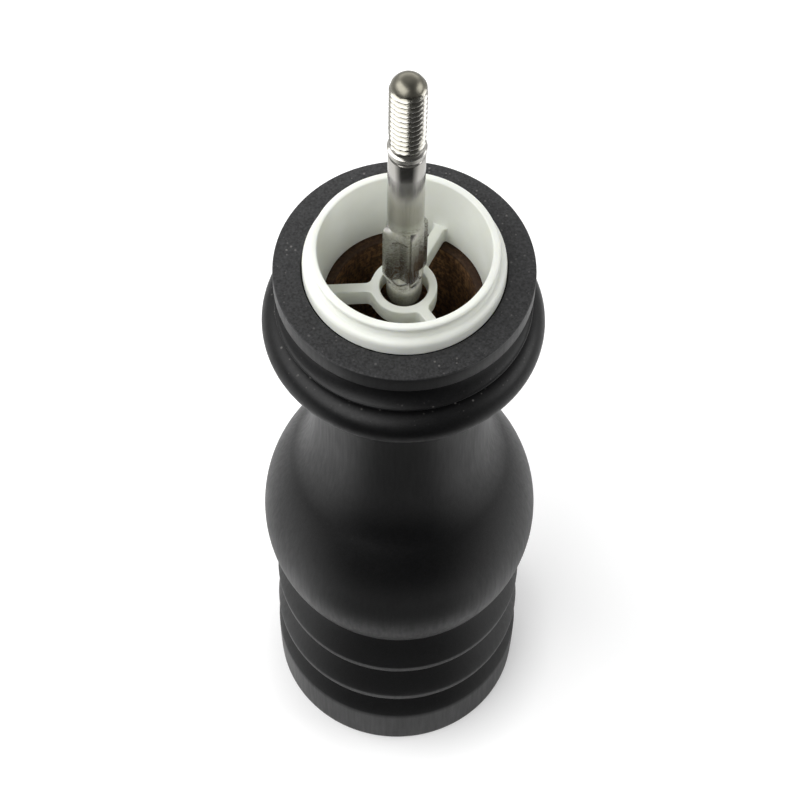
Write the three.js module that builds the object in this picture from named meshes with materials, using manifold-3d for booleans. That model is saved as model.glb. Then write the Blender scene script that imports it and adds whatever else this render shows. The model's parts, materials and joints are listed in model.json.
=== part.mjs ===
// Pepper mill with its head lifted off: a turned wooden body, a nylon guide cup pressed into its mouth, a steel
// drive shaft that stands up through it, and a conical grinder in the foot.
//
// Frame: millimetres, +Z up along the mill's axis, origin at the centre of the foot's flat underside.
// The shaft turns about Z without limit. It also lifts a little against the grinder's spring, which is how the
// missing head's knob sets the grind: the further up, the closer the toothed cones come.

import * as THREE from "three";
import { mergeVertices } from "three/addons/utils/BufferGeometryUtils.js";
import Module from "manifold-3d";

const wasm = await Module();
wasm.setup();

// ---------------------------------------------------------------- driving dimensions

const BODY_HEIGHT = 152.4; // 6 inch body under a 2 inch head
const BULB_RADIUS = 28.575; // turned from 2 1/4 inch stock
const BORE_RADIUS = 13.5; // the pepper chamber

// The foot: a plain band, then two stepped rings, each a crest over a hollow cove.
const BAND = { foot: 26.9, crest: 27.1, top: 13.6, edge: 0.6 };
const RINGS = [
  { under: 18.8, root: 24.1, crest: 26.9, top: 22.2 },
  { under: 32.8, root: 23.8, crest: 26.6, top: 35.9 },
];
const BULB = { z: 63.8, half_height: 32.8, low: 45.7, high: 84.0, root: 23.4 };
const NECK = { radius: 17.2, z: 110.0, flare_radius: 20.6, flare_z: 130.4 };
const BEAD = { centre_r: 22.6, z: 135.75, tube: 3.95 };
const RIDGE = { crest: 24.0, z: 141.8, root: 22.3, root_z: 140.1 };
const TOP_RING = { radius: 24.0, under: 148.3, root: 21.4, chamfer: 0.4 };

// Hollows of the wooden body.
const MOUTH = { radius: 16.7, floor: BODY_HEIGHT - 10.7, rebate_radius: 18.9, rebate_depth: 0.6 };
const GRINDER_SEAT = { radius: 16.6, top: 36.5, flange_radius: 21.2, flange_top: 4.4 };

// The guide cup.
const CUP = {
  flange_radius: 18.6,
  flange_height: 2.8,
  neck_radius: 16.95,
  rim_radius: 17.3,
  rim_height: 6.0,
  rim_bore: 15.85,
  foot_bore: 14.9,
  skirt_radius: 16.4,
  foot: BODY_HEIGHT - 10.0,
};
const HUB = { radius: 6.1, bore: 4.5, height: 4.1 };
const SPOKE = { count: 3, width: 2.0, first_deg: 64.5 };

// The drive shaft, heights from the foot of the mill.
const SHANK_RADIUS = 3.3;
const THREAD = { major: 3.25, minor: 2.6, pitch: 1.27, low: 189.2, high: 203.7, end_radius: 1.5,
  end: 206.6 };
const COLLAR = { radius: 3.45, low: 187.6, high: 189.0, groove_radius: 3.0, groove_low: 187.0 };
const WINGS = { count: 4, crest: 4.2, valley: 2.75, first_deg: 17, low: 150.2, high: 166.9, ramp_low: 3.2,
  ramp_high: 2.6 };
const SQUARE = { across: 4.4, low: 6.2, high: 22.0 };
const TAIL = { radius: 1.95, low: 1.8 };
const CLIP_GROOVE = { radius: 2.5, low: 37.62, high: 38.48 };

// The grinder in the foot.
const HOUSING = { flange_radius: 20.9, low: 2.2, flange_top: 4.2, radius: 16.3, bore: 14.9, ledge: 19.9,
  throat: 12.6, top: 24.0 };
const STATOR = { radius: 14.7, low: 5.4, high: 19.7, bore_low: 12.75, bore_high: 11.15, teeth: 24,
  tooth: 0.75 };
const SNAP_RING = { inner: 13.3, outer: 15.35, low: 4.35, high: 5.15, groove: 15.55 };
const ROTOR = { low: 6.0, high: 21.5, fine_top: 12.0, foot_radius: 12.15, waist_radius: 11.45,
  top_radius: 6.6, bore: 4.75, teeth: 12, tooth: 1.25, twist_deg: 34 };
const BRIDGE = { width: 13.0, thickness: 1.5, foot_z: 24.25, top_z: 35.7, foot_reach: 15.9,
  leg_foot: 12.0, leg_top: 9.2, hole: 4.75 };
const BUSH = { bore: 3.45, body: 4.6, flange: 6.4, flange_height: 1.0 };
const SPRING = { wire: 0.5, coil: 4.9, turns: 5, low: 22.75, high: 33.05 };
const WASHER = { bore: 3.5, radius: 6.2, thickness: 0.8 };

const HOUSING_SCREWS = { count: 3, ring: 18.6, first_deg: 90, head: 1.8, head_height: 1.2, shank: 1.0,
  hole: 1.25, length: 11.0 };
const BRIDGE_SCREWS = { ring: 14.6, head: 1.5, head_height: 0.95, shank: 0.7, hole: 0.85, length: 5.6,
  pilot: 3.2 };

const ROUND = 32; // sides of the large turned pieces
const SMALL_ROUND = 20; // sides of the small ones
const GAP = 0.15; // clearance left between pieces that rest on each other

// ---------------------------------------------------------------- materials

const finish = (color, roughness, metalness) => new THREE.MeshStandardMaterial({ color, roughness,
  metalness });
const BLACK_WOOD = finish(0x161617, 0.55, 0);
const WHITE_NYLON = finish(0xe6e8dd, 0.4, 0);
const GREY_NYLON = finish(0x3a3b3d, 0.5, 0);
const STAINLESS = finish(0xb9b7b2, 0.22, 1);
const HARD_STEEL = finish(0x6f6e6c, 0.38, 1);
const SPRING_STEEL = finish(0x9a9893, 0.3, 1);
const ZINC = finish(0xa7a9a8, 0.35, 1);

// ---------------------------------------------------------------- helpers

const rad = (degrees) => (degrees * Math.PI) / 180;
const mix = (a, b, t) => a + (b - a) * t;
const smooth = (t) => t * t * (3 - 2 * t);

/** A closed body turned about Z from [radius, height] pairs that run counter-clockwise. */
function turned(profile, sides = SMALL_ROUND) {
  const points = profile.map(([r, z]) => new THREE.Vector2(r, z));
  return new THREE.LatheGeometry(points, sides).rotateX(Math.PI / 2);
}

/** A plain ring or tube as a closed profile. */
const tube = (inner, outer, low, high, sides) =>
  turned([[inner, low], [outer, low], [outer, high], [inner, high], [inner, low]], sides);

/** Points along a circular arc of a profile, both ends included. */
function arc(r, z, radius, from_deg, to_deg, steps) {
  return Array.from({ length: steps + 1 }, (_, i) => {
    const angle = rad(mix(from_deg, to_deg, i / steps));
    return [r + radius * Math.cos(angle), z + radius * Math.sin(angle)];
  });
}

/** Points along a cubic curve of a profile, its first point left out. */
function curve(a, b, c, d, steps) {
  const bezier = new THREE.CubicBezierCurve(...[a, b, c, d].map(([r, z]) => new THREE.Vector2(r, z)));
  return bezier.getPoints(steps).slice(1).map((p) => [p.x, p.y]);
}

/** A geometry as a manifold-3d solid. */
function solid(geometry) {
  const bare = geometry.index ? geometry.toNonIndexed() : geometry.clone();
  bare.deleteAttribute("normal");
  bare.deleteAttribute("uv");
  const merged = mergeVertices(bare, 1e-4);
  return new wasm.Manifold(
    new wasm.Mesh({
      numProp: 3,
      vertProperties: merged.attributes.position.array,
      triVerts: new Uint32Array(merged.index.array),
    }),
  );
}

/** A manifold-3d solid as a geometry. */
function geometryOf(body) {
  const mesh = body.getMesh();
  return new THREE.BufferGeometry()
    .setAttribute("position", new THREE.BufferAttribute(mesh.vertProperties.slice(), 3))
    .setIndex(new THREE.BufferAttribute(mesh.triVerts.slice(), 1));
}

const join = (...geometries) => geometryOf(geometries.map(solid).reduce((a, b) => a.add(b)));
const cut = (base, ...tools) => geometryOf(tools.map(solid).reduce((a, b) => a.subtract(b), solid(base)));

/** A box by its size and centre. */
const block = (dx, dy, dz, x, y, z) => new THREE.BoxGeometry(dx, dy, dz).translate(x, y, z);

/** An outline whose radius is a function of the angle. */
function outline(radiusAt, points) {
  return Array.from({ length: points }, (_, i) => {
    const angle = (2 * Math.PI * i) / points;
    const r = radiusAt(angle);
    return new THREE.Vector2(r * Math.cos(angle), r * Math.sin(angle));
  });
}

/** Extrudes a shape from low to high, then moves each corner by reshape(x, y, share of the height). */
function extruded(shape, low, high, steps = 1, reshape = null) {
  const geometry = new THREE.ExtrudeGeometry(shape, { depth: high - low, steps, bevelEnabled: false });
  const place = geometry.attributes.position;
  for (let i = 0; reshape && i < place.count; i++) {
    const [x, y] = reshape(place.getX(i), place.getY(i), place.getZ(i) / (high - low));
    place.setXY(i, x, y);
  }
  return geometry.translate(0, 0, low);
}

/** Copies of a geometry evenly round the axis, the first at an angle. */
const around = (count, first_deg, make) =>
  Array.from({ length: count }, (_, i) => make().rotateZ(rad(first_deg + (360 * i) / count)));

// ---------------------------------------------------------------- the wooden body

/** The outer outline from the foot to the mouth. */
function bodyOutline() {
  const bulbAt = (z) => BULB_RADIUS * Math.sqrt(1 - ((z - BULB.z) / BULB.half_height) ** 2);
  const cove = (crest, top, root, z) => curve([crest, top], [crest - 0.3, top + 1.6], [root, z - 4.2],
    [root, z - 0.1], 4);
  const line = [[BAND.foot - BAND.edge, 0], [BAND.foot, BAND.edge], [BAND.crest, BAND.top / 2],
    [BAND.crest, BAND.top]];
  let [crest, top] = [BAND.crest, BAND.top];
  for (const ring of RINGS) {
    line.push(...cove(crest, top, ring.root, ring.under));
    line.push([ring.crest - 0.95, ring.under + 0.1], [ring.crest - 0.3, ring.under + 1.4],
      [ring.crest, ring.top]);
    [crest, top] = [ring.crest, ring.top];
  }
  line.push(...cove(crest, top, BULB.root, BULB.low), [bulbAt(BULB.low) - 0.2, BULB.low - 0.1]);
  const bulb_steps = 10;
  for (let i = 0; i <= bulb_steps; i++) {
    const z = mix(BULB.low, BULB.high, i / bulb_steps);
    line.push([bulbAt(z), z]);
  }
  const shoulder = line.at(-1);
  line.push(...curve(shoulder, [18.3, 90.2], [NECK.radius, 98], [NECK.radius, NECK.z], 4));
  line.push(...curve([NECK.radius, NECK.z], [NECK.radius, 121], [18.4, 127.4],
    [NECK.flare_radius, NECK.flare_z], 4));
  line.push(...arc(BEAD.centre_r, BEAD.z, BEAD.tube, -90, 92, 8));
  line.push([RIDGE.root, RIDGE.root_z], [RIDGE.crest - 0.4, RIDGE.z - 0.7], [RIDGE.crest, RIDGE.z - 0.2]);
  line.push([RIDGE.crest - 0.2, RIDGE.z + 0.4]);
  line.push(...curve(line.at(-1), [22.6, 143.2], [TOP_RING.root, 144.6],
    [TOP_RING.root, TOP_RING.under - 0.3], 4));
  line.push([TOP_RING.root + 0.4, TOP_RING.under], [TOP_RING.radius - 0.3, TOP_RING.under]);
  line.push([TOP_RING.radius, TOP_RING.under + 0.4], [TOP_RING.radius, BODY_HEIGHT - TOP_RING.chamfer]);
  line.push([TOP_RING.radius - TOP_RING.chamfer, BODY_HEIGHT]);
  return line;
}

/** The turned body: bulb, neck and collar outside, and the mouth, pepper chamber and grinder seat inside. */
function bodyShell() {
  const outside = bodyOutline();
  const inside = [
    [MOUTH.rebate_radius, BODY_HEIGHT],
    [MOUTH.rebate_radius, BODY_HEIGHT - MOUTH.rebate_depth],
    [MOUTH.radius, BODY_HEIGHT - MOUTH.rebate_depth],
    [MOUTH.radius, MOUTH.floor],
    [BORE_RADIUS, MOUTH.floor],
    [BORE_RADIUS, GRINDER_SEAT.top + 2],
    [GRINDER_SEAT.radius, GRINDER_SEAT.top],
    [GRINDER_SEAT.radius, GRINDER_SEAT.flange_top],
    [GRINDER_SEAT.flange_radius, GRINDER_SEAT.flange_top],
    [GRINDER_SEAT.flange_radius, 0],
  ];
  const wood = turned([...outside, ...inside, outside[0]], ROUND);
  const { count, ring, first_deg, hole, length } = HOUSING_SCREWS;
  const depth = HOUSING.low + length + 0.8;
  const pilots = around(count, first_deg, () => turned([[0, 3], [hole, 3], [hole, depth], [0, depth]],
    10).translate(ring, 0, 0));
  return cut(wood, ...pilots);
}

// ---------------------------------------------------------------- the guide cup

/** The nylon cup: a flange on the mouth, a waisted collar that centres the head, and a hub on three spokes. */
function guideCup() {
  const seat = BODY_HEIGHT - MOUTH.rebate_depth + GAP;
  const ledge = BODY_HEIGHT + CUP.flange_height;
  const rim = BODY_HEIGHT + CUP.rim_height;
  const wall = turned(
    [
      [CUP.foot_bore, CUP.foot],
      [CUP.skirt_radius, CUP.foot],
      [CUP.skirt_radius, seat],
      [CUP.flange_radius, seat],
      [CUP.flange_radius, ledge],
      [CUP.flange_radius - 0.7, ledge + 0.1],
      [CUP.neck_radius + 0.1, ledge + 0.9],
      [CUP.neck_radius, ledge + 1.7],
      [CUP.rim_radius, rim - 0.7],
      [CUP.rim_radius - 0.3, rim],
      [CUP.rim_bore, rim],
      [CUP.foot_bore, CUP.foot],
    ],
    ROUND,
  );
  const hub_top = CUP.foot + HUB.height;
  const hub = tube(HUB.bore, HUB.radius, CUP.foot, hub_top, SMALL_ROUND);
  const inner = HUB.bore + 0.8;
  const outer = CUP.foot_bore + 0.7;
  const spokes = around(SPOKE.count, SPOKE.first_deg, () =>
    block(outer - inner, SPOKE.width, HUB.height, (inner + outer) / 2, 0, CUP.foot + HUB.height / 2),
  );
  return join(wall, hub, ...spokes);
}

// ---------------------------------------------------------------- the drive shaft

/** The threaded end, collar and shank above the wings, with the thread as rings at its real pitch. */
function shaftTop() {
  const line = [[0, WINGS.high - 3], [WINGS.valley - 0.2, WINGS.high - 3],
    [WINGS.valley - 0.2, WINGS.high], [SHANK_RADIUS, WINGS.high]];
  line.push([SHANK_RADIUS, COLLAR.groove_low - 0.3], [COLLAR.groove_radius, COLLAR.groove_low],
    [COLLAR.groove_radius, COLLAR.low]);
  line.push([COLLAR.radius, COLLAR.low + 0.3], [COLLAR.radius, COLLAR.high - 0.3]);
  const turns = Math.floor((THREAD.high - THREAD.low) / THREAD.pitch);
  for (let i = 0; i < turns; i++) {
    const z = THREAD.low + i * THREAD.pitch;
    line.push([THREAD.minor, z], [THREAD.major, z + THREAD.pitch / 2]);
  }
  line.push([THREAD.minor, THREAD.low + turns * THREAD.pitch], [THREAD.major - 0.1, THREAD.high]);
  line.push([THREAD.major - 0.8, THREAD.end - 1.2], [THREAD.end_radius, THREAD.end - 0.2], [0, THREAD.end]);
  return turned(line, 16);
}

/** The pressed wings: four crests with hollows between, fading into the round shaft at both ends. */
function shaftWings() {
  const points = 32;
  const star = (angle) => {
    const share = Math.abs(Math.cos((WINGS.count / 2) * (angle - rad(WINGS.first_deg))));
    return mix(WINGS.valley, WINGS.crest, share ** 2.2);
  };
  const length = WINGS.high - WINGS.low;
  const fade = (x, y, share) => {
    const r = Math.hypot(x, y);
    const low = smooth(Math.min(1, (share * length) / WINGS.ramp_low));
    const high = smooth(Math.min(1, ((1 - share) * length) / WINGS.ramp_high));
    const k = mix(SHANK_RADIUS, r, Math.min(low, high)) / r;
    return [x * k, y * k];
  };
  return extruded(new THREE.Shape(outline(star, points)), WINGS.low, WINGS.high, 8, fade);
}

/** The stem below the wings, with the stop clip's groove, the square for the rotor and the threaded tail. */
function shaftStem() {
  const round = turned(
    [
      [0, SQUARE.high - 1],
      [SQUARE.across / 2, SQUARE.high - 1],
      [SQUARE.across / 2, SQUARE.high],
      [SHANK_RADIUS, SQUARE.high],
      [SHANK_RADIUS, CLIP_GROOVE.low],
      [CLIP_GROOVE.radius, CLIP_GROOVE.low],
      [CLIP_GROOVE.radius, CLIP_GROOVE.high],
      [SHANK_RADIUS, CLIP_GROOVE.high],
      [SHANK_RADIUS, WINGS.low],
      [WINGS.valley - 0.2, WINGS.low],
      [WINGS.valley - 0.2, WINGS.high - 2],
      [0, WINGS.high - 2],
    ],
    16,
  );
  const height = SQUARE.high - 0.5 - SQUARE.low;
  const square = block(SQUARE.across, SQUARE.across, height, 0, 0, SQUARE.low + height / 2);
  const tail = turned([[0, TAIL.low], [TAIL.radius - 0.4, TAIL.low], [TAIL.radius, TAIL.low + 0.4],
    [TAIL.radius, SQUARE.low + 1], [0, SQUARE.low + 1]], 16);
  return join(round, square, tail);
}

const driveShaft = () => join(shaftTop(), shaftWings(), shaftStem());

/** The spring clip on the shaft: a flat ring open on one side. */
function stopClip() {
  const ring = tube(CLIP_GROOVE.radius + GAP / 2, 5.4, CLIP_GROOVE.low + 0.03, CLIP_GROOVE.high - 0.03,
    SMALL_ROUND);
  return cut(ring, block(6, 3.6, 4, 4.5, 0, CLIP_GROOVE.low));
}

// ---------------------------------------------------------------- the grinder

/** The housing: flange, seat for the toothed ring, snap ring groove, and a funnelled throat. */
function grinderHousing() {
  const wall = turned(
    [
      [HOUSING.bore, HOUSING.low],
      [HOUSING.flange_radius, HOUSING.low],
      [HOUSING.flange_radius, HOUSING.flange_top],
      [HOUSING.radius, HOUSING.flange_top],
      [HOUSING.radius, HOUSING.top],
      [HOUSING.throat + 0.6, HOUSING.top],
      [HOUSING.throat, HOUSING.top - 1.5],
      [HOUSING.throat, HOUSING.ledge],
      [HOUSING.bore, HOUSING.ledge],
      [HOUSING.bore, SNAP_RING.high + 0.1],
      [SNAP_RING.groove, SNAP_RING.high + 0.1],
      [SNAP_RING.groove, SNAP_RING.low - 0.1],
      [HOUSING.bore, SNAP_RING.low - 0.1],
      [HOUSING.bore, HOUSING.low],
    ],
    ROUND,
  );
  const { count, ring, first_deg, hole, head, head_height } = HOUSING_SCREWS;
  const sink = head_height + 0.1;
  const seats = around(count, first_deg, () =>
    turned([[0, -1], [head + GAP, -1], [head + GAP, 0.1], [hole + GAP, sink], [hole, sink + 0.2],
      [hole, 4], [0, 4]], 16).translate(ring, 0, HOUSING.low),
  );
  const depth = BRIDGE_SCREWS.pilot;
  const pilots = [-1, 1].map((side) =>
    turned([[0, -depth], [BRIDGE_SCREWS.hole, -depth], [BRIDGE_SCREWS.hole, 1], [0, 1]],
      10).translate(side * BRIDGE_SCREWS.ring, 0, HOUSING.top),
  );
  return cut(wall, ...seats, ...pilots);
}

/** A closed star outline: teeth whose tips and roots differ by depth. */
function toothed(radius, teeth, depth) {
  return Array.from({ length: teeth * 2 }, (_, i) => {
    const angle = (Math.PI * i) / teeth;
    const r = i % 2 ? radius : radius - depth;
    return new THREE.Vector2(r * Math.cos(angle), r * Math.sin(angle));
  });
}

/** The fixed toothed ring, its bore widening towards the foot. */
function statorRing() {
  const shape = new THREE.Shape(outline(() => STATOR.radius, ROUND));
  const bore = STATOR.bore_low + STATOR.tooth;
  shape.holes.push(new THREE.Path(toothed(bore, STATOR.teeth, STATOR.tooth)));
  const close_in = STATOR.bore_low - STATOR.bore_high;
  return extruded(shape, STATOR.low, STATOR.high, 2, (x, y, share) => {
    const r = Math.hypot(x, y);
    const k = r > bore + 0.2 ? 1 : (r - close_in * share) / r;
    return [x * k, y * k];
  });
}

/** The snap ring under the toothed ring. */
function snapRing() {
  const ring = tube(SNAP_RING.inner, SNAP_RING.outer, SNAP_RING.low, SNAP_RING.high, ROUND);
  return cut(ring, block(6, 6, 4, (SNAP_RING.inner + SNAP_RING.outer) / 2, 0, SNAP_RING.low));
}

/** The turning cone: spiral teeth that draw the corns down, over a steeper ring that cuts them fine. */
function rotorCone() {
  const radiusAt = (z) =>
    z < ROTOR.fine_top
      ? mix(ROTOR.foot_radius, ROTOR.waist_radius, (z - ROTOR.low) / (ROTOR.fine_top - ROTOR.low))
      : mix(ROTOR.waist_radius, ROTOR.top_radius, (z - ROTOR.fine_top) / (ROTOR.high - ROTOR.fine_top));
  const shape = new THREE.Shape(toothed(ROTOR.foot_radius, ROTOR.teeth, ROTOR.tooth));
  const half = ROTOR.bore / 2;
  shape.holes.push(new THREE.Path([[-half, -half], [half, -half], [half, half], [-half, half]]
    .map(([x, y]) => new THREE.Vector2(x, y))));
  return extruded(shape, ROTOR.low, ROTOR.high, 8, (x, y, share) => {
    const r = Math.hypot(x, y);
    if (r < half * 1.5) return [x, y];
    const k = radiusAt(mix(ROTOR.low, ROTOR.high, share)) / ROTOR.foot_radius;
    const turn = rad(ROTOR.twist_deg) * share;
    return [k * (x * Math.cos(turn) - y * Math.sin(turn)), k * (x * Math.sin(turn) + y * Math.cos(turn))];
  });
}

/** The strap over the throat: two feet, two legs and a flat top with a hole for the bush. */
function bearingBridge() {
  const { width, thickness: t, foot_z, top_z, foot_reach, leg_foot, leg_top, hole } = BRIDGE;
  const upper = [[foot_reach, foot_z + t], [leg_foot + 0.7, foot_z + t], [leg_top + 0.5, top_z]];
  const lower = [[leg_top - 0.5, top_z - t], [leg_foot - 0.7, foot_z], [foot_reach, foot_z]];
  const right = [...lower, ...upper];
  const left = [...right].reverse().map(([x, z]) => [-x, z]);
  const side = new THREE.Shape([...right, ...left].map(([x, z]) => new THREE.Vector2(x, z)));
  const strap = new THREE.ExtrudeGeometry(side, { depth: width, bevelEnabled: false })
    .translate(0, 0, -width / 2)
    .rotateX(Math.PI / 2);
  const bush_hole = turned([[0, top_z - 4], [hole, top_z - 4], [hole, top_z + 2], [0, top_z + 2]],
    SMALL_ROUND);
  const screw_holes = [-1, 1].map((sign) =>
    turned([[0, foot_z - 1], [BRIDGE_SCREWS.hole, foot_z - 1], [BRIDGE_SCREWS.hole, foot_z + 3],
      [0, foot_z + 3]], 12).translate(sign * BRIDGE_SCREWS.ring, 0, 0),
  );
  const round_off = turned([[0, 20], [GRINDER_SEAT.radius - 0.4, 20], [GRINDER_SEAT.radius - 0.4, 40],
    [0, 40]], ROUND);
  return geometryOf([bush_hole, ...screw_holes].map(solid).reduce((a, b) => a.subtract(b),
    solid(strap)).intersect(solid(round_off)));
}

/** The flanged nylon bush that the stem turns and slides in. */
function bridgeBush() {
  const flange_low = BRIDGE.top_z + GAP;
  const low = BRIDGE.top_z - BRIDGE.thickness + 0.1;
  return turned([
    [BUSH.bore, low],
    [BUSH.body, low],
    [BUSH.body, flange_low],
    [BUSH.flange, flange_low],
    [BUSH.flange, flange_low + BUSH.flange_height],
    [BUSH.bore, flange_low + BUSH.flange_height],
    [BUSH.bore, low],
  ]);
}

/** The compression spring: one round wire wound up the shaft, its ends square. */
function grinderSpring() {
  class Coil extends THREE.Curve {
    getPoint(t) {
      const angle = 2 * Math.PI * SPRING.turns * t;
      const z = mix(SPRING.low + SPRING.wire, SPRING.high - SPRING.wire, t);
      return new THREE.Vector3(SPRING.coil * Math.cos(angle), SPRING.coil * Math.sin(angle), z);
    }
  }
  const wire = new THREE.Shape(outline(() => SPRING.wire, 6));
  return new THREE.ExtrudeGeometry(wire, { steps: SPRING.turns * 10, extrudePath: new Coil(),
    bevelEnabled: false });
}

/** A flat washer by the height of its underside. */
const washer = (low, bore = WASHER.bore, radius = WASHER.radius, thickness = WASHER.thickness) =>
  tube(bore, radius, low, low + thickness, SMALL_ROUND);

/** The lock nut on the shaft's tail. */
function lockNut() {
  const hexagon = new THREE.Shape(outline(() => 4.0, 6));
  hexagon.holes.push(new THREE.Path(outline(() => TAIL.radius + GAP, 16)));
  return extruded(hexagon, 2.3, 4.9);
}

/** A screw along Z with its head's top at z = 0, its shank below, and a cross recess. */
function screw({ head, head_height, shank, length }, countersunk) {
  const profile = countersunk
    ? [[0, -length], [shank, -length + 1.6], [shank, -head_height - 0.4], [head, -0.15], [head, 0], [0, 0]]
    : [[0, -length], [shank, -length + 0.8], [shank, -head_height], [head, -head_height], [head, -0.35],
      [head * 0.7, 0], [0, 0]];
  const reach = head * 1.1;
  const slot = head * 0.28;
  const depth = head_height;
  return cut(turned(profile, 16), block(reach, slot, depth, 0, 0, 0), block(slot, reach, depth, 0, 0, 0));
}

/** A housing screw stands head down in the flange and runs up into the wood. */
const housingScrew = () => screw(HOUSING_SCREWS, true).rotateX(Math.PI).translate(HOUSING_SCREWS.ring, 0,
  HOUSING.low);

/** A bridge screw holds one foot of the strap to the housing. */
const bridgeScrew = () =>
  screw(BRIDGE_SCREWS, false).translate(BRIDGE_SCREWS.ring, 0,
    BRIDGE.foot_z + BRIDGE.thickness + BRIDGE_SCREWS.head_height + 0.05);

// ---------------------------------------------------------------- the mill

const mill = new THREE.Group();

/** Adds a named piece to a group of the mill. */
function piece(group, name, geometry, material) {
  const mesh = new THREE.Mesh(geometry, material);
  mesh.name = name;
  group.add(mesh);
}

const fixed = new THREE.Group();
piece(fixed, "body_shell", bodyShell(), BLACK_WOOD);
piece(fixed, "guide_cup", guideCup(), WHITE_NYLON);
piece(fixed, "grinder_housing", grinderHousing(), GREY_NYLON);
piece(fixed, "stator_ring", statorRing(), HARD_STEEL);
piece(fixed, "stator_snap_ring", snapRing(), SPRING_STEEL);
piece(fixed, "bearing_bridge", bearingBridge(), ZINC);
piece(fixed, "bridge_bush", bridgeBush(), WHITE_NYLON);
piece(fixed, "upper_spring_washer", washer(SPRING.high + 0.1), ZINC);
around(HOUSING_SCREWS.count, HOUSING_SCREWS.first_deg, housingScrew).forEach((g, i) =>
  piece(fixed, `housing_screw_${i + 1}`, g, ZINC),
);
around(2, 0, bridgeScrew).forEach((g, i) => piece(fixed, `bridge_screw_${i + 1}`, g, ZINC));

const carriage = new THREE.Group(); // lifts with the shaft, but doesn't turn
piece(carriage, "thrust_washer", washer(SPRING.low - 0.95), ZINC);
piece(carriage, "grinder_spring", grinderSpring(), SPRING_STEEL);

const spindle = new THREE.Group(); // lifts and turns
piece(spindle, "drive_shaft", driveShaft(), STAINLESS);
piece(spindle, "stop_clip", stopClip(), SPRING_STEEL);
piece(spindle, "stop_washer", washer(CLIP_GROOVE.low - 0.67, WASHER.bore, 6.0, 0.6), ZINC);
piece(spindle, "rotor_cone", rotorCone(), HARD_STEEL);
piece(spindle, "rotor_washer", washer(5.05, TAIL.radius + 0.2, 5.2, 0.8), ZINC);
piece(spindle, "rotor_lock_nut", lockNut(), ZINC);

mill.add(fixed, carriage, spindle);

export default mill;
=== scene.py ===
"""A pepper mill with its head lifted off, dressed for a studio picture.

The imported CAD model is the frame. Every piece here is worked out in millimetres on the mill's axis, from
the boxes of the CAD nodes that it stands for, and is put into Blender in metres. Classes hold the mill's
sub-assemblies: the turned body, the guide cup in its mouth, the drive shaft, and the grinder in the foot.
"""

import json
import logging
import math
from collections.abc import Callable
from dataclasses import dataclass, field
from enum import Enum
from typing import Any

import bpy
import numpy as np
from mathutils import Matrix, Vector


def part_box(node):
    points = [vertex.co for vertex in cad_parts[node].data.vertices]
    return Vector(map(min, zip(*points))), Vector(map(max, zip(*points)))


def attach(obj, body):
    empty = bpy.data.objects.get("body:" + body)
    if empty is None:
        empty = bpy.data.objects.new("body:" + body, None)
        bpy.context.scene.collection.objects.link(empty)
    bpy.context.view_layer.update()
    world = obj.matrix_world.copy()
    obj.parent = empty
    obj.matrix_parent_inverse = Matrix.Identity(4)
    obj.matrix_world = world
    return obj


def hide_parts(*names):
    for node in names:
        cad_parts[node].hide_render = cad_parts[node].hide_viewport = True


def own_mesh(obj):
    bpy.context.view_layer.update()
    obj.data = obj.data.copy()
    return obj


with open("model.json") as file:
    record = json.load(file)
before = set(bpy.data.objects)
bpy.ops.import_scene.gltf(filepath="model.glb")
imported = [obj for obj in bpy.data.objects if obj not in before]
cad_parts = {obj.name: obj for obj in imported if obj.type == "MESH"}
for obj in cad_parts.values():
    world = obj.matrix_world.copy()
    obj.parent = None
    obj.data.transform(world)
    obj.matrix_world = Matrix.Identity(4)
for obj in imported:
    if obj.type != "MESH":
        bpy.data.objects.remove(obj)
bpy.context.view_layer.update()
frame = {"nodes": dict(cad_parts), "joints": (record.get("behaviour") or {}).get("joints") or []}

LOG = logging.getLogger("pepper_mill")
MM = 0.001
FULL_TURN = 2 * math.pi

Outline = np.ndarray
"""Points of a half section, one row of (radius, height) in millimetres each."""


class Body(Enum):
    """The rigid bodies of the mill, by their names in the frame."""

    MILL = "mill_body"
    SPRING_SEAT = "spring_seat"
    DRIVE = "drive"


class Cut(Enum):
    """How one closed mesh is combined with others."""

    JOIN = "UNION"
    CARVE = "DIFFERENCE"


class Lines(Enum):
    """Which way the fine lines of a worked metal surface run."""

    TURNED = "turned"
    DRAWN = "drawn"
    BLASTED = "blasted"


# ------------------------------------------------------------------ places read from the frame


def heights(node: str) -> tuple[float, float]:
    """The lowest and highest point of a CAD node.

    Args:
        node: The node's name.

    Returns:
        Its two heights in millimetres.
    """
    low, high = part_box(node)
    return low.z / MM, high.z / MM


def reach(node: str) -> float:
    """How far a CAD node stands out from the mill's axis.

    Args:
        node: The node's name.

    Returns:
        The larger of its X and Y extents from the axis, in millimetres.
    """
    low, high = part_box(node)
    return max(high.x, high.y, -low.x, -low.y) / MM


# ------------------------------------------------------------------ outlines


def arc(
    centre: tuple[float, float], radii: tuple[float, float], start: float, end: float, count: int
) -> Outline:
    """Points on an ellipse: centre plus each radius times the cosine or sine of an even run of angles.

    Args:
        centre: Radius and height of the centre.
        radii: Semi-axes along the radius and along the height.
        start: First angle in degrees.
        end: Last angle in degrees.
        count: How many points, both ends included.

    Returns:
        The points.
    """
    angle = np.radians(np.linspace(start, end, count))
    return np.stack([centre[0] + radii[0] * np.cos(angle), centre[1] + radii[1] * np.sin(angle)], -1)


def bend(corners: list[tuple[float, float]], count: int) -> Outline:
    """A cubic curve between two ends with two handles: the four points weighed by the Bernstein terms.

    Args:
        corners: First end, its handle, the second handle and the second end.
        count: How many points, both ends included.

    Returns:
        The points.
    """
    t = np.linspace(0, 1, count)[:, None]
    a, b, c, d = (np.array(p, float) for p in corners)
    return a * (1 - t) ** 3 + 3 * b * t * (1 - t) ** 2 + 3 * c * t**2 * (1 - t) + d * t**3


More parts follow.
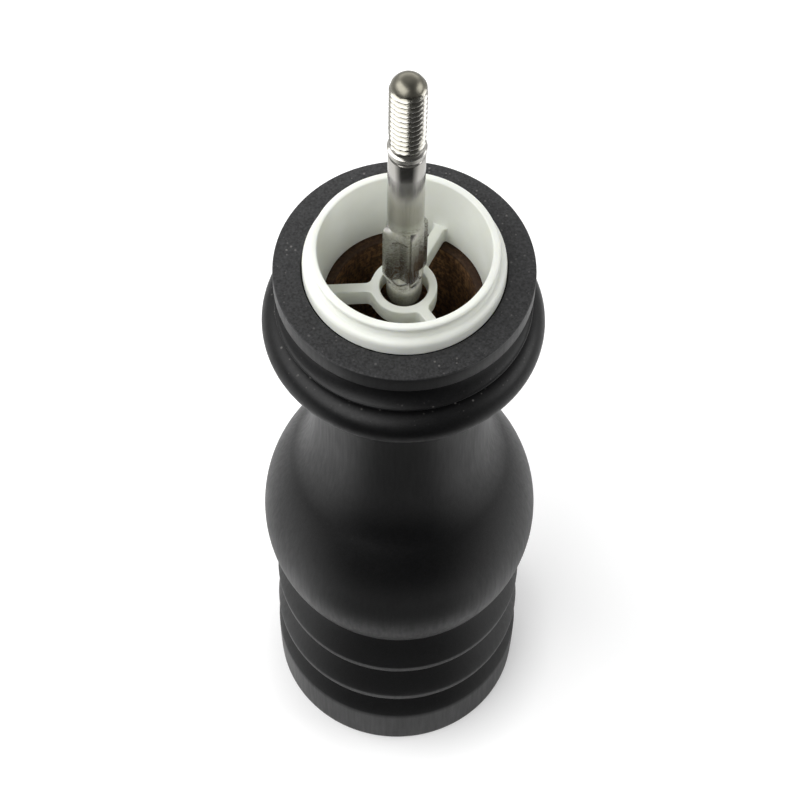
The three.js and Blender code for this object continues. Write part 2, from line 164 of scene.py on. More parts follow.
def rounded(corners: list[tuple[float, float, float]], count: int = 5) -> Outline:
    """A closed outline whose corners are rounded.

    Each corner is replaced by a quadratic curve that starts and ends on its two sides, at its rounding's
    size from it, and has the corner as its handle.

    Args:
        corners: Radius, height and rounding of each corner, in order.
        count: How many points each corner becomes.

    Returns:
        The points of the whole outline, in the same order.
    """
    table = np.array(corners, float)
    here, size = table[:, :2], table[:, 2:]
    before, after = np.roll(here, 1, 0) - here, np.roll(here, -1, 0) - here
    before = before / np.linalg.norm(before, axis=1, keepdims=True) * size
    after = after / np.linalg.norm(after, axis=1, keepdims=True) * size
    t = np.linspace(0, 1, count)[None, :, None]
    curves = here[:, None] + before[:, None] * (1 - t) ** 2 + after[:, None] * t**2
    return curves.reshape(-1, 2)


def without_repeats(outline: Outline) -> Outline:
    """The outline with each point that lies on the one before it taken out.

    Args:
        outline: The points.

    Returns:
        The points that are at least a micrometre from the one before.
    """
    step = np.linalg.norm(outline - np.roll(outline, 1, 0), axis=1)
    return outline[step > MM]


# ------------------------------------------------------------------ grids of points


@dataclass
class Skin:
    """A grid of points in millimetres, closed round its columns.

    Attributes:
        points: The points, in an array of rows by columns by three.
        looped: True if the last row joins the first. If not, a point in each end row's middle closes it.
        slots: The material slot of each row of faces, or None for the first slot everywhere.
    """

    points: np.ndarray
    looped: bool = True
    slots: np.ndarray | None = None

    def faces(self) -> tuple[np.ndarray, list[list[int]], np.ndarray]:
        """The vertices, the faces as corner numbers, and each face's slot.

        A face's corners are a grid point, its neighbour in the next column, and the two points after them
        in the next row. They are turned round if the volume under them comes out negative.

        Returns:
            The vertices in millimetres, the faces, and the slots.
        """
        rows, columns = self.points.shape[:2]
        last = rows if self.looped else rows - 1
        row, column = np.meshgrid(np.arange(last), np.arange(columns), indexing="ij")
        along, up = (column + 1) % columns, (row + 1) % rows
        grid = [row * columns + column, row * columns + along, up * columns + along, up * columns + column]
        quads = np.stack(grid, -1).reshape(-1, 4)
        vertices = self.points.reshape(-1, 3)
        slots = np.zeros(last, int) if self.slots is None else self.slots[:last]
        face_slots = np.repeat(slots, columns)
        corners = vertices[quads]
        volume = np.einsum("ij,ij->", corners[:, 0], np.cross(corners[:, 1] - corners[:, 3], corners[:, 2]))
        faces = quads.tolist()
        if not self.looped:
            ring = np.arange(columns)
            after = (ring + 1) % columns
            poles = np.stack([self.points[0].mean(0), self.points[-1].mean(0)])
            count = len(vertices)
            vertices = np.concatenate([vertices, poles])
            top = (rows - 1) * columns
            faces += np.stack([after, ring, np.full(columns, count)], -1).tolist()
            faces += np.stack([top + ring, top + after, np.full(columns, count + 1)], -1).tolist()
            ends = np.repeat([slots[0], slots[-1]], columns)
            face_slots = np.concatenate([face_slots, ends])
            volume = 1.0 if self.outward() else -1.0
        if volume < 0:
            faces = [face[::-1] for face in faces]
        return vertices, faces, face_slots

    def outward(self) -> bool:
        """True if the faces of an open-ended skin point away from the line through its rows' middles.

        Returns:
            True for a skin that faces outward.
        """
        middle = self.points.mean(1, keepdims=True)
        round_step = np.roll(self.points, -1, 1)[:-1] - self.points[:-1]
        up_step = self.points[1:] - self.points[:-1]
        normal = np.cross(round_step, up_step)
        return float((normal * (self.points - middle)[:-1]).sum()) > 0


def revolve(outline: Outline, sides: int, looped: bool = True, slots: np.ndarray | None = None) -> Skin:
    """Turns an outline about the axis: each radius times the cosine and sine of evenly spaced angles.

    Args:
        outline: The half section.
        sides: How many points round.
        looped: True if the outline closes on itself, False if its ends are closed flat.
        slots: The material slot after each point of the outline.

    Returns:
        The grid.
    """
    angle = np.linspace(0, FULL_TURN, sides, endpoint=False)
    return polar(np.repeat(outline[:, :1], sides, 1), outline[:, 1:], angle, looped, slots)


def polar(
    radius: np.ndarray, height: np.ndarray, angle: np.ndarray, looped: bool, slots: np.ndarray | None = None
) -> Skin:
    """A grid from a radius and a height for each row and angle.

    Args:
        radius: Rows by angles, in millimetres.
        height: Rows by angles, or rows by one, in millimetres.
        angle: The angles in radians.
        looped: True if the last row joins the first.
        slots: The material slot after each row.

    Returns:
        The grid.
    """
    height = np.broadcast_to(height, radius.shape)
    return Skin(np.stack([radius * np.cos(angle), radius * np.sin(angle), height], -1), looped, slots)


def sweep(path: np.ndarray, side: np.ndarray, up: np.ndarray, section: np.ndarray) -> Skin:
    """Carries a section along a path: each path point plus the section's two offsets along side and up.

    Args:
        path: The path's points, rows by three.
        side: The direction of the section's first offset at each point, rows by three.
        up: The direction of its second offset.
        section: The offsets, columns by two, or rows by columns by two where the section changes.

    Returns:
        The grid, closed at both ends.
    """
    offsets = np.broadcast_to(section, (len(path), *section.shape[-2:]))
    points = path[:, None] + side[:, None] * offsets[..., :1] + up[:, None] * offsets[..., 1:]
    return Skin(points, looped=False)


def ring_section(inner: float, outer: float, low: float, high: float, rounding: float) -> Outline:
    """The outline of a flat ring with rounded edges.

    Args:
        inner: Radius of its hole.
        outer: Its own radius.
        low: Height of its underside.
        high: Height of its top.
        rounding: Size of its rounded edges.

    Returns:
        The points.
    """
    corners = [(inner, low), (outer, low), (outer, high), (inner, high)]
    return without_repeats(rounded([(radius, height, rounding) for radius, height in corners]))


def level_path(out: np.ndarray) -> np.ndarray:
    """An upward direction for each point of a path."""
    return np.broadcast_to([0.0, 0.0, 1.0], out.shape)


def square(half: float, angle: np.ndarray) -> np.ndarray:
    """The radius of a square at each angle: its half width over the larger of the sine and cosine."""
    return half / np.maximum(np.abs(np.cos(angle)), np.abs(np.sin(angle)))


def saw(turns: np.ndarray, peak: float) -> np.ndarray:
    """A saw-tooth of height 1: it climbs over the first share of each turn, and drops over the rest."""
    share = turns % 1.0
    return np.where(share < peak, share / peak, (1 - share) / (1 - peak))


def thread_height(phase: np.ndarray) -> np.ndarray:
    """The height of a 60 degree thread, from 0 in its root to 1 on its crest.

    The distance from the nearest crest, as a share of the pitch, falls from a flat crest an eighth of the
    pitch wide to a flat root a quarter wide.

    Args:
        phase: Turns along the thread. A crest is at each whole number.

    Returns:
        The height at each phase.
    """
    away = np.abs(phase - np.round(phase))
    return np.interp(away, [0, 1 / 16, 3 / 8, 1 / 2], [1, 1, 0, 0])


def even_heights(edges: list[float], steps: list[float]) -> np.ndarray:
    """Heights from the first edge to the last, evenly spaced between each two edges.

    Args:
        edges: The heights that have to be in the result.
        steps: The largest step between each two of them.

    Returns:
        The heights.
    """
    runs = [
        np.linspace(low, high, max(1, math.ceil((high - low) / step)), endpoint=False)
        for low, high, step in zip(edges[:-1], edges[1:], steps)
    ]
    return np.concatenate([*runs, [edges[-1]]])


# ------------------------------------------------------------------ Blender objects


def make_object(name: str, skin: Skin) -> bpy.types.Object:
    """Puts a grid into a new mesh object at the origin, in metres.

    Args:
        name: The object's name.
        skin: The grid.

    Returns:
        The object, linked to the scene.
    """
    vertices, faces, slots = skin.faces()
    mesh = bpy.data.meshes.new(name)
    mesh.from_pydata((vertices * MM).tolist(), [], faces)
    mesh.polygons.foreach_set("material_index", slots.astype(np.int32))
    mesh.update()
    made = bpy.data.objects.new(name, mesh)
    bpy.context.scene.collection.objects.link(made)
    return made


def combine(target: bpy.types.Object, tools: list[bpy.types.Object], how: Cut) -> None:
    """Joins closed meshes to an object, or carves them out of it, and deletes them.

    Args:
        target: The object that is changed.
        tools: The objects that are used up.
        how: Whether they are joined or carved.
    """
    for tool in tools:
        modifier = target.modifiers.new(how.name, "BOOLEAN")
        modifier.operation, modifier.solver, modifier.object = how.value, "EXACT", tool
    graph = bpy.context.evaluated_depsgraph_get()
    result = bpy.data.meshes.new_from_object(target.evaluated_get(graph))
    target.modifiers.clear()
    target.data = result
    for tool in tools:
        bpy.data.objects.remove(tool)


def turned_copy(skin: Skin, degrees: float) -> Skin:
    """The same grid turned about the mill's axis."""
    turn = np.array(Matrix.Rotation(math.radians(degrees), 3, "Z"))
    return Skin(skin.points @ turn.T, skin.looped, skin.slots)


def moved(skin: Skin, x: float, z: float) -> Skin:
    """The same grid moved sideways along X and up."""
    return Skin(skin.points + np.array([x, 0.0, z]), skin.looped, skin.slots)


@dataclass(frozen=True)
class Dressing:
    """Where a finished piece belongs.

    Attributes:
        body: The body that it moves with.
        slot: The record's material slot. It is not used.
        nodes: The CAD nodes that it stands for.
        sharp_deg: Edges that bend more than this stay crisp.
    """

    body: Body
    slot: str
    nodes: tuple[str, ...]
    sharp_deg: float = 32.0

    def apply(self, piece: bpy.types.Object, *materials: bpy.types.Material) -> bpy.types.Object:
        """Shades a piece, gives it its materials and hangs it on its body.

        Args:
            piece: The finished object.
            materials: One for each of its slots.

        Returns:
            The piece.
        """
        for number, material in enumerate(materials):
            if number < len(piece.data.materials):
                piece.data.materials[number] = material
            else:
                piece.data.materials.append(material)
        piece.data.polygons.foreach_set("use_smooth", np.ones(len(piece.data.polygons), bool))
        piece.data.set_sharp_from_angle(angle=math.radians(self.sharp_deg))
        piece.data.update()
        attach(piece, self.body.value)
        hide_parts(*self.nodes)
        LOG.info("%s: %d faces, on %s", piece.name, len(piece.data.polygons), self.body.value)
        return piece


# ------------------------------------------------------------------ shader graphs

Colour = tuple[float, float, float, float]
Span = tuple[float, float]
Socket = bpy.types.NodeSocket

FULL: Span = (0.0, 1.0)
MIDDLE: Span = (0.35, 0.65)
"""Where most of a noise's values lie."""


@dataclass(frozen=True)
class Grain:
    """One use of the fine grain group.

    Attributes:
        scale: Cells to the metre.
        stretch: How many times taller than wide a cell is.
        detail: How many finer octaves are added.
        span: The values of the noise that count as none and as full.
    """

    scale: float
    stretch: float = 1.0
    detail: float = 3.0
    span: Span = MIDDLE


class Graph:
    """Adds and links the nodes of one shader tree."""

    def __init__(self, tree: bpy.types.NodeTree) -> None:
        """Empties the tree that it adds to."""
        self.tree = tree
        tree.nodes.clear()

    def add(self, kind: str, inputs: dict[str | int, Any] | None = None, **settings: Any) -> bpy.types.Node:
        """Adds a node.

        Args:
            kind: The node's type, without its ShaderNode prefix where it has one.
            inputs: Values or sockets for its inputs, by name or number.
            settings: Its other properties.

        Returns:
            The node.
        """
        full = kind if kind.startswith("Node") else "ShaderNode" + kind
        node = self.tree.nodes.new(full)
        for name, value in settings.items():
            setattr(node, name, value)
        for key, value in (inputs or {}).items():
            if isinstance(value, Socket):
                self.tree.links.new(value, node.inputs[key])
            else:
                node.inputs[key].default_value = value
        return node

    def group(self, tree: bpy.types.NodeTree, inputs: dict[str, float]) -> Socket:
        """The output of an instance of a node group.

        Args:
            tree: The group.
            inputs: Its inputs' values.

        Returns:
            Its one output.
        """
        node = self.add("Group")
        node.node_tree = tree
        for key, value in inputs.items():
            node.inputs[key].default_value = value
        return node.outputs[0]

    def grain(self, use: Grain) -> Socket:
        """The plain noise of one use of the fine grain group."""
        values = {"Scale": use.scale, "Stretch": use.stretch, "Detail": use.detail}
        return self.group(EFFECTS.grain(), values)

    def grained(self, use: Grain, values: Span = FULL) -> Socket:
        """The noise of one use, moved from its span to a range of values."""
        return self.remap(self.grain(use), use.span, values)

    def point(self) -> Socket:
        """The point on the piece, in metres."""
        return self.add("TexCoord").outputs["Object"]

    def height(self) -> Socket:
        """The height on the mill, in metres."""
        return self.add("SeparateXYZ", {0: self.point()}).outputs[2]

    def from_axis(self) -> Socket:
        """The distance from the mill's axis, in metres.

        Returns:
            The distance, as a socket.
        """
        level_values = {0: self.point(), 1: (1.0, 1.0, 0.0)}
        level = self.add("VectorMath", level_values, operation="MULTIPLY").outputs[0]
        return self.add("VectorMath", {0: level}, operation="LENGTH").outputs["Value"]

    def maths(self, operation: str, first: Any, second: Any = 0.0) -> Socket:
        """The result of a Math node on two values or sockets."""
        return self.add("Math", {0: first, 1: second}, operation=operation).outputs[0]

    def product(self, first: Any, second: Any) -> Socket:
        """One value or socket times another."""
        return self.maths("MULTIPLY", first, second)

    def weighed(self, first: Socket, first_share: float, second: Socket, second_share: float) -> Socket:
        """Two sockets, each times its share, added."""
        return self.maths("ADD", self.product(first, first_share), self.product(second, second_share))

    def bell(self, value: Any, middle: float, width: float) -> Socket:
        """A hump of height 1: e to the minus square of the distance from the middle over the width."""
        distance = self.maths("DIVIDE", self.maths("SUBTRACT", value, middle), width)
        return self.maths("EXPONENT", self.product(self.maths("POWER", distance, 2.0), -1.0))

    def remap(self, value: Any, source: tuple[Any, Any], target: Span = FULL) -> Socket:
        """A value moved from one range to another, held to the second."""
        ends = zip(("From Min", "From Max", "To Min", "To Max"), (*source, *target))
        return self.add("MapRange", {"Value": value, **dict(ends)}).outputs[0]

    def by_height(self, low_mm: float, high_mm: float, values: Span = FULL) -> Socket:
        """A value that changes between two heights on the mill."""
        return self.remap(self.height(), (low_mm * MM, high_mm * MM), values)

    def blend(self, share: Any, first: Any, second: Any) -> Socket:
        """One colour at share 0 and another at share 1."""
        return self.add("Mix", {0: share, 6: first, 7: second}, data_type="RGBA").outputs[2]

    def grey(self, level: Socket) -> Socket:
        """A grey of a level."""
        return self.add("CombineColor", {0: level, 1: level, 2: level}).outputs[0]

    def bump(self, height: Any, depth_mm: float, strength: float) -> Socket:
        """The normal of a surface raised by a height map of a depth in millimetres."""
        inputs = {"Height": height, "Strength": strength, "Distance": depth_mm * MM}
        return self.add("Bump", inputs).outputs[0]


Filling = Callable[[Graph, bpy.types.Node], Socket]
"""Adds a group's nodes, given its graph and input node, and returns the socket for its output."""


@dataclass
class Effects:
    """The node groups that more than one finish uses, each built once.

    Attributes:
        built: The groups that have been asked for so far, by name.
    """

    built: dict[str, bpy.types.NodeTree] = field(default_factory=dict)

    def once(self, name: str, inputs: dict[str, float], filling: Filling) -> bpy.types.NodeTree:
        """A group with float inputs and one output called Mask, built when it is first asked for.

        Args:
            name: The group's name.
            inputs: Its inputs and their usual values.
            filling: Adds its nodes.

        Returns:
            The group.
        """
        if name in self.built:
            return self.built[name]
        tree = bpy.data.node_groups.new(name, "ShaderNodeTree")
        graph = Graph(tree)
        for label, value in inputs.items():
            socket = tree.interface.new_socket(label, in_out="INPUT", socket_type="NodeSocketFloat")
            socket.default_value = value
        tree.interface.new_socket("Mask", in_out="OUTPUT", socket_type="NodeSocketFloat")
        graph.add("NodeGroupOutput", {"Mask": filling(graph, graph.add("NodeGroupInput"))})
        self.built[name] = tree
        return tree

    def grain(self) -> bpy.types.NodeTree:
        """Fine grain: noise that can be drawn out along the mill's height.

        Object coordinates, with their height divided by Stretch, drive a noise with Scale cells a metre.

        Returns:
            The group.
        """

        def filling(graph: Graph, given: bpy.types.Node) -> Socket:
            """The noise, with its height drawn out.

            Args:
                graph: The group's nodes.
                given: The group's own inputs.

            Returns:
                The mask.
            """
            split = graph.add("SeparateXYZ", {0: graph.point()})
            height = graph.maths("DIVIDE", split.outputs[2], given.outputs["Stretch"])
            flattened = {0: split.outputs[0], 1: split.outputs[1], 2: height}
            place = graph.add("CombineXYZ", flattened).outputs[0]
            sizes = {key: given.outputs[key] for key in ("Scale", "Detail")}
            return graph.add("TexNoise", {"Vector": place, **sizes}).outputs["Fac"]

        return self.once("fine_grain", {"Scale": 2000.0, "Stretch": 1.0, "Detail": 3.0}, filling)

    def specks(self) -> bpy.types.NodeTree:
        """Sparse round specks, such as dust: the middles of the cells that their random colour picks out.

        Returns:
            The group.
        """

        def filling(graph: Graph, given: bpy.types.Node) -> Socket:
            """A spot in each cell that was picked, as large as the cell's second colour says.

            Args:
                graph: The group's nodes.
                given: The group's own inputs.

            Returns:
                The mask.
            """
            cells = graph.add("TexVoronoi", {"Vector": graph.point(), "Scale": given.outputs["Scale"]})
            chance = graph.add("SeparateColor", {0: cells.outputs["Color"]}).outputs
            shown = graph.maths("LESS_THAN", chance[0], given.outputs["Amount"])
            size = graph.product(chance[1], given.outputs["Size"])
            spot = graph.remap(cells.outputs["Distance"], (0.0, size), (1.0, 0.0))
            return graph.product(spot, shown)

        return self.once("specks", {"Scale": 900.0, "Size": 0.25, "Amount": 0.4}, filling)

    def lathe_lines(self) -> bpy.types.NodeTree:
        """Rings left by a turning tool: noise along the distance from the axis plus the height.

        Returns:
            The group.
        """

        def filling(graph: Graph, given: bpy.types.Node) -> Socket:
            """The noise along the tool's way, which wavers by some millimetres.

            Args:
                graph: The group's nodes.
                given: The group's own inputs.

            Returns:
                The mask.
            """
            waver_values = {"Vector": graph.point(), "Scale": 90.0, "Detail": 1.0}
            waver = graph.add("TexNoise", waver_values).outputs["Fac"]
            wander = graph.product(waver, graph.product(given.outputs["Waver"], MM))
            along = graph.maths("ADD", graph.maths("ADD", graph.from_axis(), graph.height()), wander)
            inputs = {"W": along, "Scale": given.outputs["Scale"], "Detail": 2.0}
            return graph.add("TexNoise", inputs, noise_dimensions="1D").outputs["Fac"]

        return self.once("lathe_lines", {"Scale": 3000.0, "Waver": 0.1}, filling)


EFFECTS = Effects()


# ------------------------------------------------------------------ finishes


@dataclass(frozen=True)
class Finish:
    """What every finish has.

    Attributes:
        name: The material's name.
    """

    name: str

    def begin(self) -> tuple[Graph, bpy.types.Material]:
        """An empty material and its graph.

        Returns:
            The graph, and the material.
        """
        material = bpy.data.materials.new(self.name)
        material.use_nodes = True
        return Graph(material.node_tree), material

    def end(self, graph: Graph, inputs: dict[str, Any]) -> None:
        """Adds the Principled shader with its inputs, and the output."""
        shader = graph.add("BsdfPrincipled", inputs)
        graph.add("OutputMaterial", {"Surface": shader.outputs[0]})


@dataclass(frozen=True)
class BlackLacquer(Finish):
    """Satin black lacquer on fine-grained wood, with a powdery grain and dust on what faces up.

    Attributes:
        dark: The lacquer at its darkest.
        light: The lacquer where the powder is thickest.
        dust: The specks of dust.
        worn: The thin grey film on the seat for the head.
        roughness: The least and greatest roughness.
        ior: Its index of refraction.
        seat_face: Height of the seat for the head, in millimetres, and how far below it the film starts.
        powder: The powdery grain.
        pores: The wood's pores, which show through.
        clouds: Broad patches of more and less dust and gloss.
        film: The grain of the film.
        dust_specks: Cells to the metre, largest size and share of the cells that hold a speck.
        dust_slope: How upright a surface's normal is where dust starts to lie, and where it lies fully.
    """

    dark: Colour = (0.0006, 0.0006, 0.0007, 1)
    light: Colour = (0.0045, 0.0045, 0.005, 1)
    dust: Colour = (0.26, 0.25, 0.24, 1)
    worn: Colour = (0.05, 0.05, 0.051, 1)
    roughness: Span = (0.36, 0.48)
    ior: float = 1.36
    seat_face: tuple[float, float] = (152.15, 0.15)
    powder: Grain = Grain(3600.0, detail=2.0, span=(0.35, 0.68))
    pores: Grain = Grain(1500.0, stretch=14.0)
    clouds: Grain = Grain(60.0, stretch=2.0, span=(0.35, 0.7))
    film: Grain = Grain(2300.0, detail=5.0, span=(0.3, 0.72))
    dust_specks: tuple[float, float, float] = (1250.0, 0.4, 0.3)
    dust_slope: Span = (0.55, 0.98)

    def make(self) -> bpy.types.Material:
        """Builds the material.

        Returns:
            The material.
        """
        graph, material = self.begin()
        powder, pores, clouds = (graph.grain(use) for use in (self.powder, self.pores, self.clouds))
        specks = graph.group(EFFECTS.specks(), dict(zip(("Scale", "Size", "Amount"), self.dust_specks)))
        upright = graph.add("SeparateXYZ", {0: graph.add("NewGeometry").outputs["Normal"]}).outputs[2]
        settled = graph.remap(upright, self.dust_slope, (0.03, 1.0))
        patches = graph.remap(clouds, self.clouds.span, (0.1, 0.9))
        dusted = graph.product(specks, graph.product(settled, patches))
        lacquer = graph.blend(graph.remap(powder, self.powder.span), self.dark, self.light)
        face, below = self.seat_face
        film = graph.product(graph.by_height(face - below, face), graph.grained(self.film, (0.3, 1.0)))
        colour = graph.blend(dusted, graph.blend(film, lacquer, self.worn), self.dust)
        rough = graph.remap(graph.weighed(pores, 0.5, clouds, 0.5), MIDDLE, self.roughness)
        normal = graph.bump(graph.weighed(powder, 0.6, pores, 0.6), 0.05, 0.35)
        self.end(graph, {"Base Color": colour, "Roughness": rough, "Normal": normal, "IOR": self.ior})
        return material


@dataclass(frozen=True)
class RawWood(Finish):
    """Unfinished brown wood as the boring tool left it.

    Attributes:
        pale: The early wood.
        deep: The late wood, and the tool's lines.
        pore_and_shade: Pores and flecks, and the painted shade in the gap under the cup.
        roughness: Its roughness.
        ior: Its index of refraction.
        growth: The figure of the wood.
        flecks: Short dark flecks.
        pores: Long fine pores.
        tool_lines: Lines to the metre, and how far they waver in millimetres.
        painted_shade_span: The heights, in millimetres, above which the wood is painted dark, as painted
            shade in the gap under the cup.
    """

    pale: Colour = (0.31, 0.17, 0.07, 1)
    deep: Colour = (0.085, 0.042, 0.018, 1)
    pore_and_shade: Colour = (0.03, 0.014, 0.008, 1)
    roughness: float = 0.78
    ior: float = 1.4
    growth: Grain = Grain(260.0, stretch=9.0, detail=5.0, span=(0.35, 0.7))
    flecks: Grain = Grain(1500.0, stretch=1.6, span=(0.42, 0.6))
    pores: Grain = Grain(1900.0, stretch=16.0, detail=2.0, span=(0.58, 0.72))
    tool_lines: tuple[float, float] = (1250.0, 0.5)
    painted_shade_span: Span = (141.1, 141.6)

    def make(self) -> bpy.types.Material:
        """Builds the material.

        Returns:
            The material.
        """
        graph, material = self.begin()
        pores = graph.grain(self.pores)
        lines = graph.group(EFFECTS.lathe_lines(), dict(zip(("Scale", "Waver"), self.tool_lines)))
        colour = graph.blend(graph.grained(self.growth, (0.0, 0.8)), self.pale, self.deep)
        colour = graph.blend(graph.remap(lines, (0.42, 0.66), (0.0, 0.5)), colour, self.deep)
        colour = graph.blend(graph.grained(self.flecks, (0.7, 0.0)), colour, self.pore_and_shade)
        colour = graph.blend(graph.remap(pores, self.pores.span, (0.0, 0.55)), colour, self.pore_and_shade)
        # Painted shade: the mouth's wall and the ledge under the cup are darkened towards the pore colour.
        colour = graph.blend(graph.by_height(*self.painted_shade_span, (0.0, 0.8)), colour, self.pore_and_shade)
        normal = graph.bump(graph.weighed(lines, 1.0, pores, -0.8), 0.12, 0.6)
        looks = {"Base Color": colour, "Roughness": self.roughness, "Normal": normal, "IOR": self.ior}
        self.end(graph, looks)
        return material


@dataclass(frozen=True)
class Nylon(Finish):
    """Moulded nylon, satin and a little translucent, faintly mottled.

    Attributes:
        colour: The paler of its two tones.
        shade: The darker one.
        translucence: How much light goes on under the surface.
        depth: How far it goes, in millimetres.
        roughness: The least and greatest roughness.
        ior: Its index of refraction.
        mottle: The patches of the two tones.
        skin: The mould's fine texture.
    """

    colour: Colour = (0.90, 0.92, 0.865, 1)
    shade: Colour = (0.84, 0.86, 0.79, 1)
    translucence: float = 0.25
    depth: float = 1.2
    roughness: Span = (0.3, 0.42)
    ior: float = 1.53
    mottle: Grain = Grain(130.0, detail=4.0, span=(0.3, 0.7))
    skin: Grain = Grain(2600.0, detail=2.0)

    def make(self) -> bpy.types.Material:
        """Builds the material.

        Returns:
            The material.
        """
        graph, material = self.begin()
        skin = graph.grain(self.skin)
        colour = graph.blend(graph.grained(self.mottle), self.colour, self.shade)
        rough = graph.remap(skin, self.skin.span, self.roughness)
        normal = graph.bump(skin, 0.02, 0.3)
        inputs = {"Base Color": colour, "Roughness": rough, "Normal": normal, "IOR": self.ior}
        if self.translucence:
            inputs |= {
                "Subsurface Weight": self.translucence,
                "Subsurface Radius": (1.0, 0.95, 0.7),
                "Subsurface Scale": self.depth * MM,
            }
        self.end(graph, inputs)
        return material


@dataclass(frozen=True)
class ShaftMarks:
    """What the drive shaft's steel shows from end to end, in millimetres: real pits, and painted shade and
    a painted dark reflection.

    Attributes:
        pitted: The heights between which the pressed wings are pitted.
        pits: The grain of the pits.
        pit_depth: How deep they are.
        threads: The height above which the thread is painted darker.
        painted_shade_span: The distances from the axis where the thread's painted shade is thickest and
            thinnest.
        painted_dark_tip: The heights between which the tip turns dull and rougher and is painted dark, as a
            painted dark reflection.
    """

    pitted: Span = (146.0, 168.0)
    pits: Grain = Grain(2600.0, span=(0.5, 0.64))
    pit_depth: float = 0.03
    threads: float = 189.0
    painted_shade_span: Span = (2.75, 3.15)
    painted_dark_tip: Span = (204.4, 205.1)


@dataclass(frozen=True)
class Steel(Finish):
    """Bare or plated steel with the lines of how it was worked.

    Attributes:
        colour: The clean metal.
        tarnish: The metal where it is stained.
        dark: The colour of the shaft's painted shade and painted dark reflection, and of its pits.
        roughness: The least and greatest roughness.
        lines: How its surface was worked.
        line_depth: How deep the lines are, in millimetres.
        stain: The patches of stain.
        marks: The drive shaft's own marks, real pits and painted shade, on its steel only.
    """

    colour: Colour = (0.60, 0.585, 0.56, 1)
    tarnish: Colour = (0.47, 0.465, 0.40, 1)
    dark: Colour = (0.20, 0.19, 0.155, 1)
    roughness: Span = (0.14, 0.26)
    lines: Lines = Lines.DRAWN
    line_depth: float = 0.004
    stain: Grain = Grain(220.0, stretch=3.0, detail=4.0, span=(0.4, 0.75))
    marks: ShaftMarks | None = None

    def worked(self, graph: Graph) -> Socket:
        """The fine lines or the grain that the working left.

        Args:
            graph: The material's nodes.

        Returns:
            The mask.
        """
        if self.lines is Lines.TURNED:
            return graph.group(EFFECTS.lathe_lines(), {"Scale": 9000.0, "Waver": 0.02})
        if self.lines is Lines.DRAWN:
            return graph.grain(Grain(5200.0, stretch=60.0, detail=2.0))
        return graph.grain(Grain(4200.0))

    def marked(self, graph: Graph, marks: ShaftMarks, look: list[Socket]) -> list[Socket]:
        """Adds pits among the wings, painted shade strongest in a band above them and in the thread's
        roots, and a dull tip painted dark.

        Args:
            graph: The material's graph.
            marks: Where they are.
            look: The colour, the roughness and the height so far.

        Returns:
            The three with the marks.
        """
        colour, rough, height = look
        low, high = marks.pitted
        among = graph.product(graph.by_height(low - 1, low), graph.by_height(high, high + 1, (1.0, 0.0)))
        hollow = graph.product(graph.grained(marks.pits), among)
        # Painted shade: the steel is darkened most in a band just above the wings, and less below and above
        # it; the pits add their own darkening.
        rise = graph.by_height(high, high + 2, (0.12, 0.6))
        fall = graph.by_height(high + 6, high + 12, (1.0, 0.45))
        painted_band_and_pits = graph.maths("ADD", graph.product(rise, fall), graph.product(hollow, 0.3))
        # Painted shade in the thread, darkest in its roots.
        root, crest = marks.painted_shade_span
        painted_root_shade = graph.remap(graph.from_axis(), (root * MM, crest * MM), (0.85, 0.1))
        threaded = graph.maths("GREATER_THAN", graph.height(), marks.threads * MM)
        # Painted dark reflection on the tip, which is also made rougher.
        end = graph.by_height(*marks.painted_dark_tip, (0.0, 0.85))
        for share in (painted_band_and_pits, graph.product(painted_root_shade, threaded), end):
            colour = graph.blend(share, colour, self.dark)
        height = graph.maths("SUBTRACT", height, graph.product(hollow, marks.pit_depth))
        return [colour, graph.maths("ADD", rough, graph.product(end, 0.18)), height]

    def make(self) -> bpy.types.Material:
        """Builds the material.

        Returns:
            The material.
        """
        graph, material = self.begin()
        fine, stain = self.worked(graph), graph.grain(self.stain)
        colour = graph.blend(graph.remap(stain, self.stain.span), self.colour, self.tarnish)
        rough = graph.remap(graph.weighed(fine, 0.6, stain, 0.4), MIDDLE, self.roughness)
        look = [colour, rough, graph.product(fine, self.line_depth)]
        if self.marks:
            look = self.marked(graph, self.marks, look)
        inputs = {"Base Color": look[0], "Metallic": 1.0, "Roughness": look[1]}
        self.end(graph, {**inputs, "Normal": graph.bump(look[2], 1.0, 0.5)})
        return material


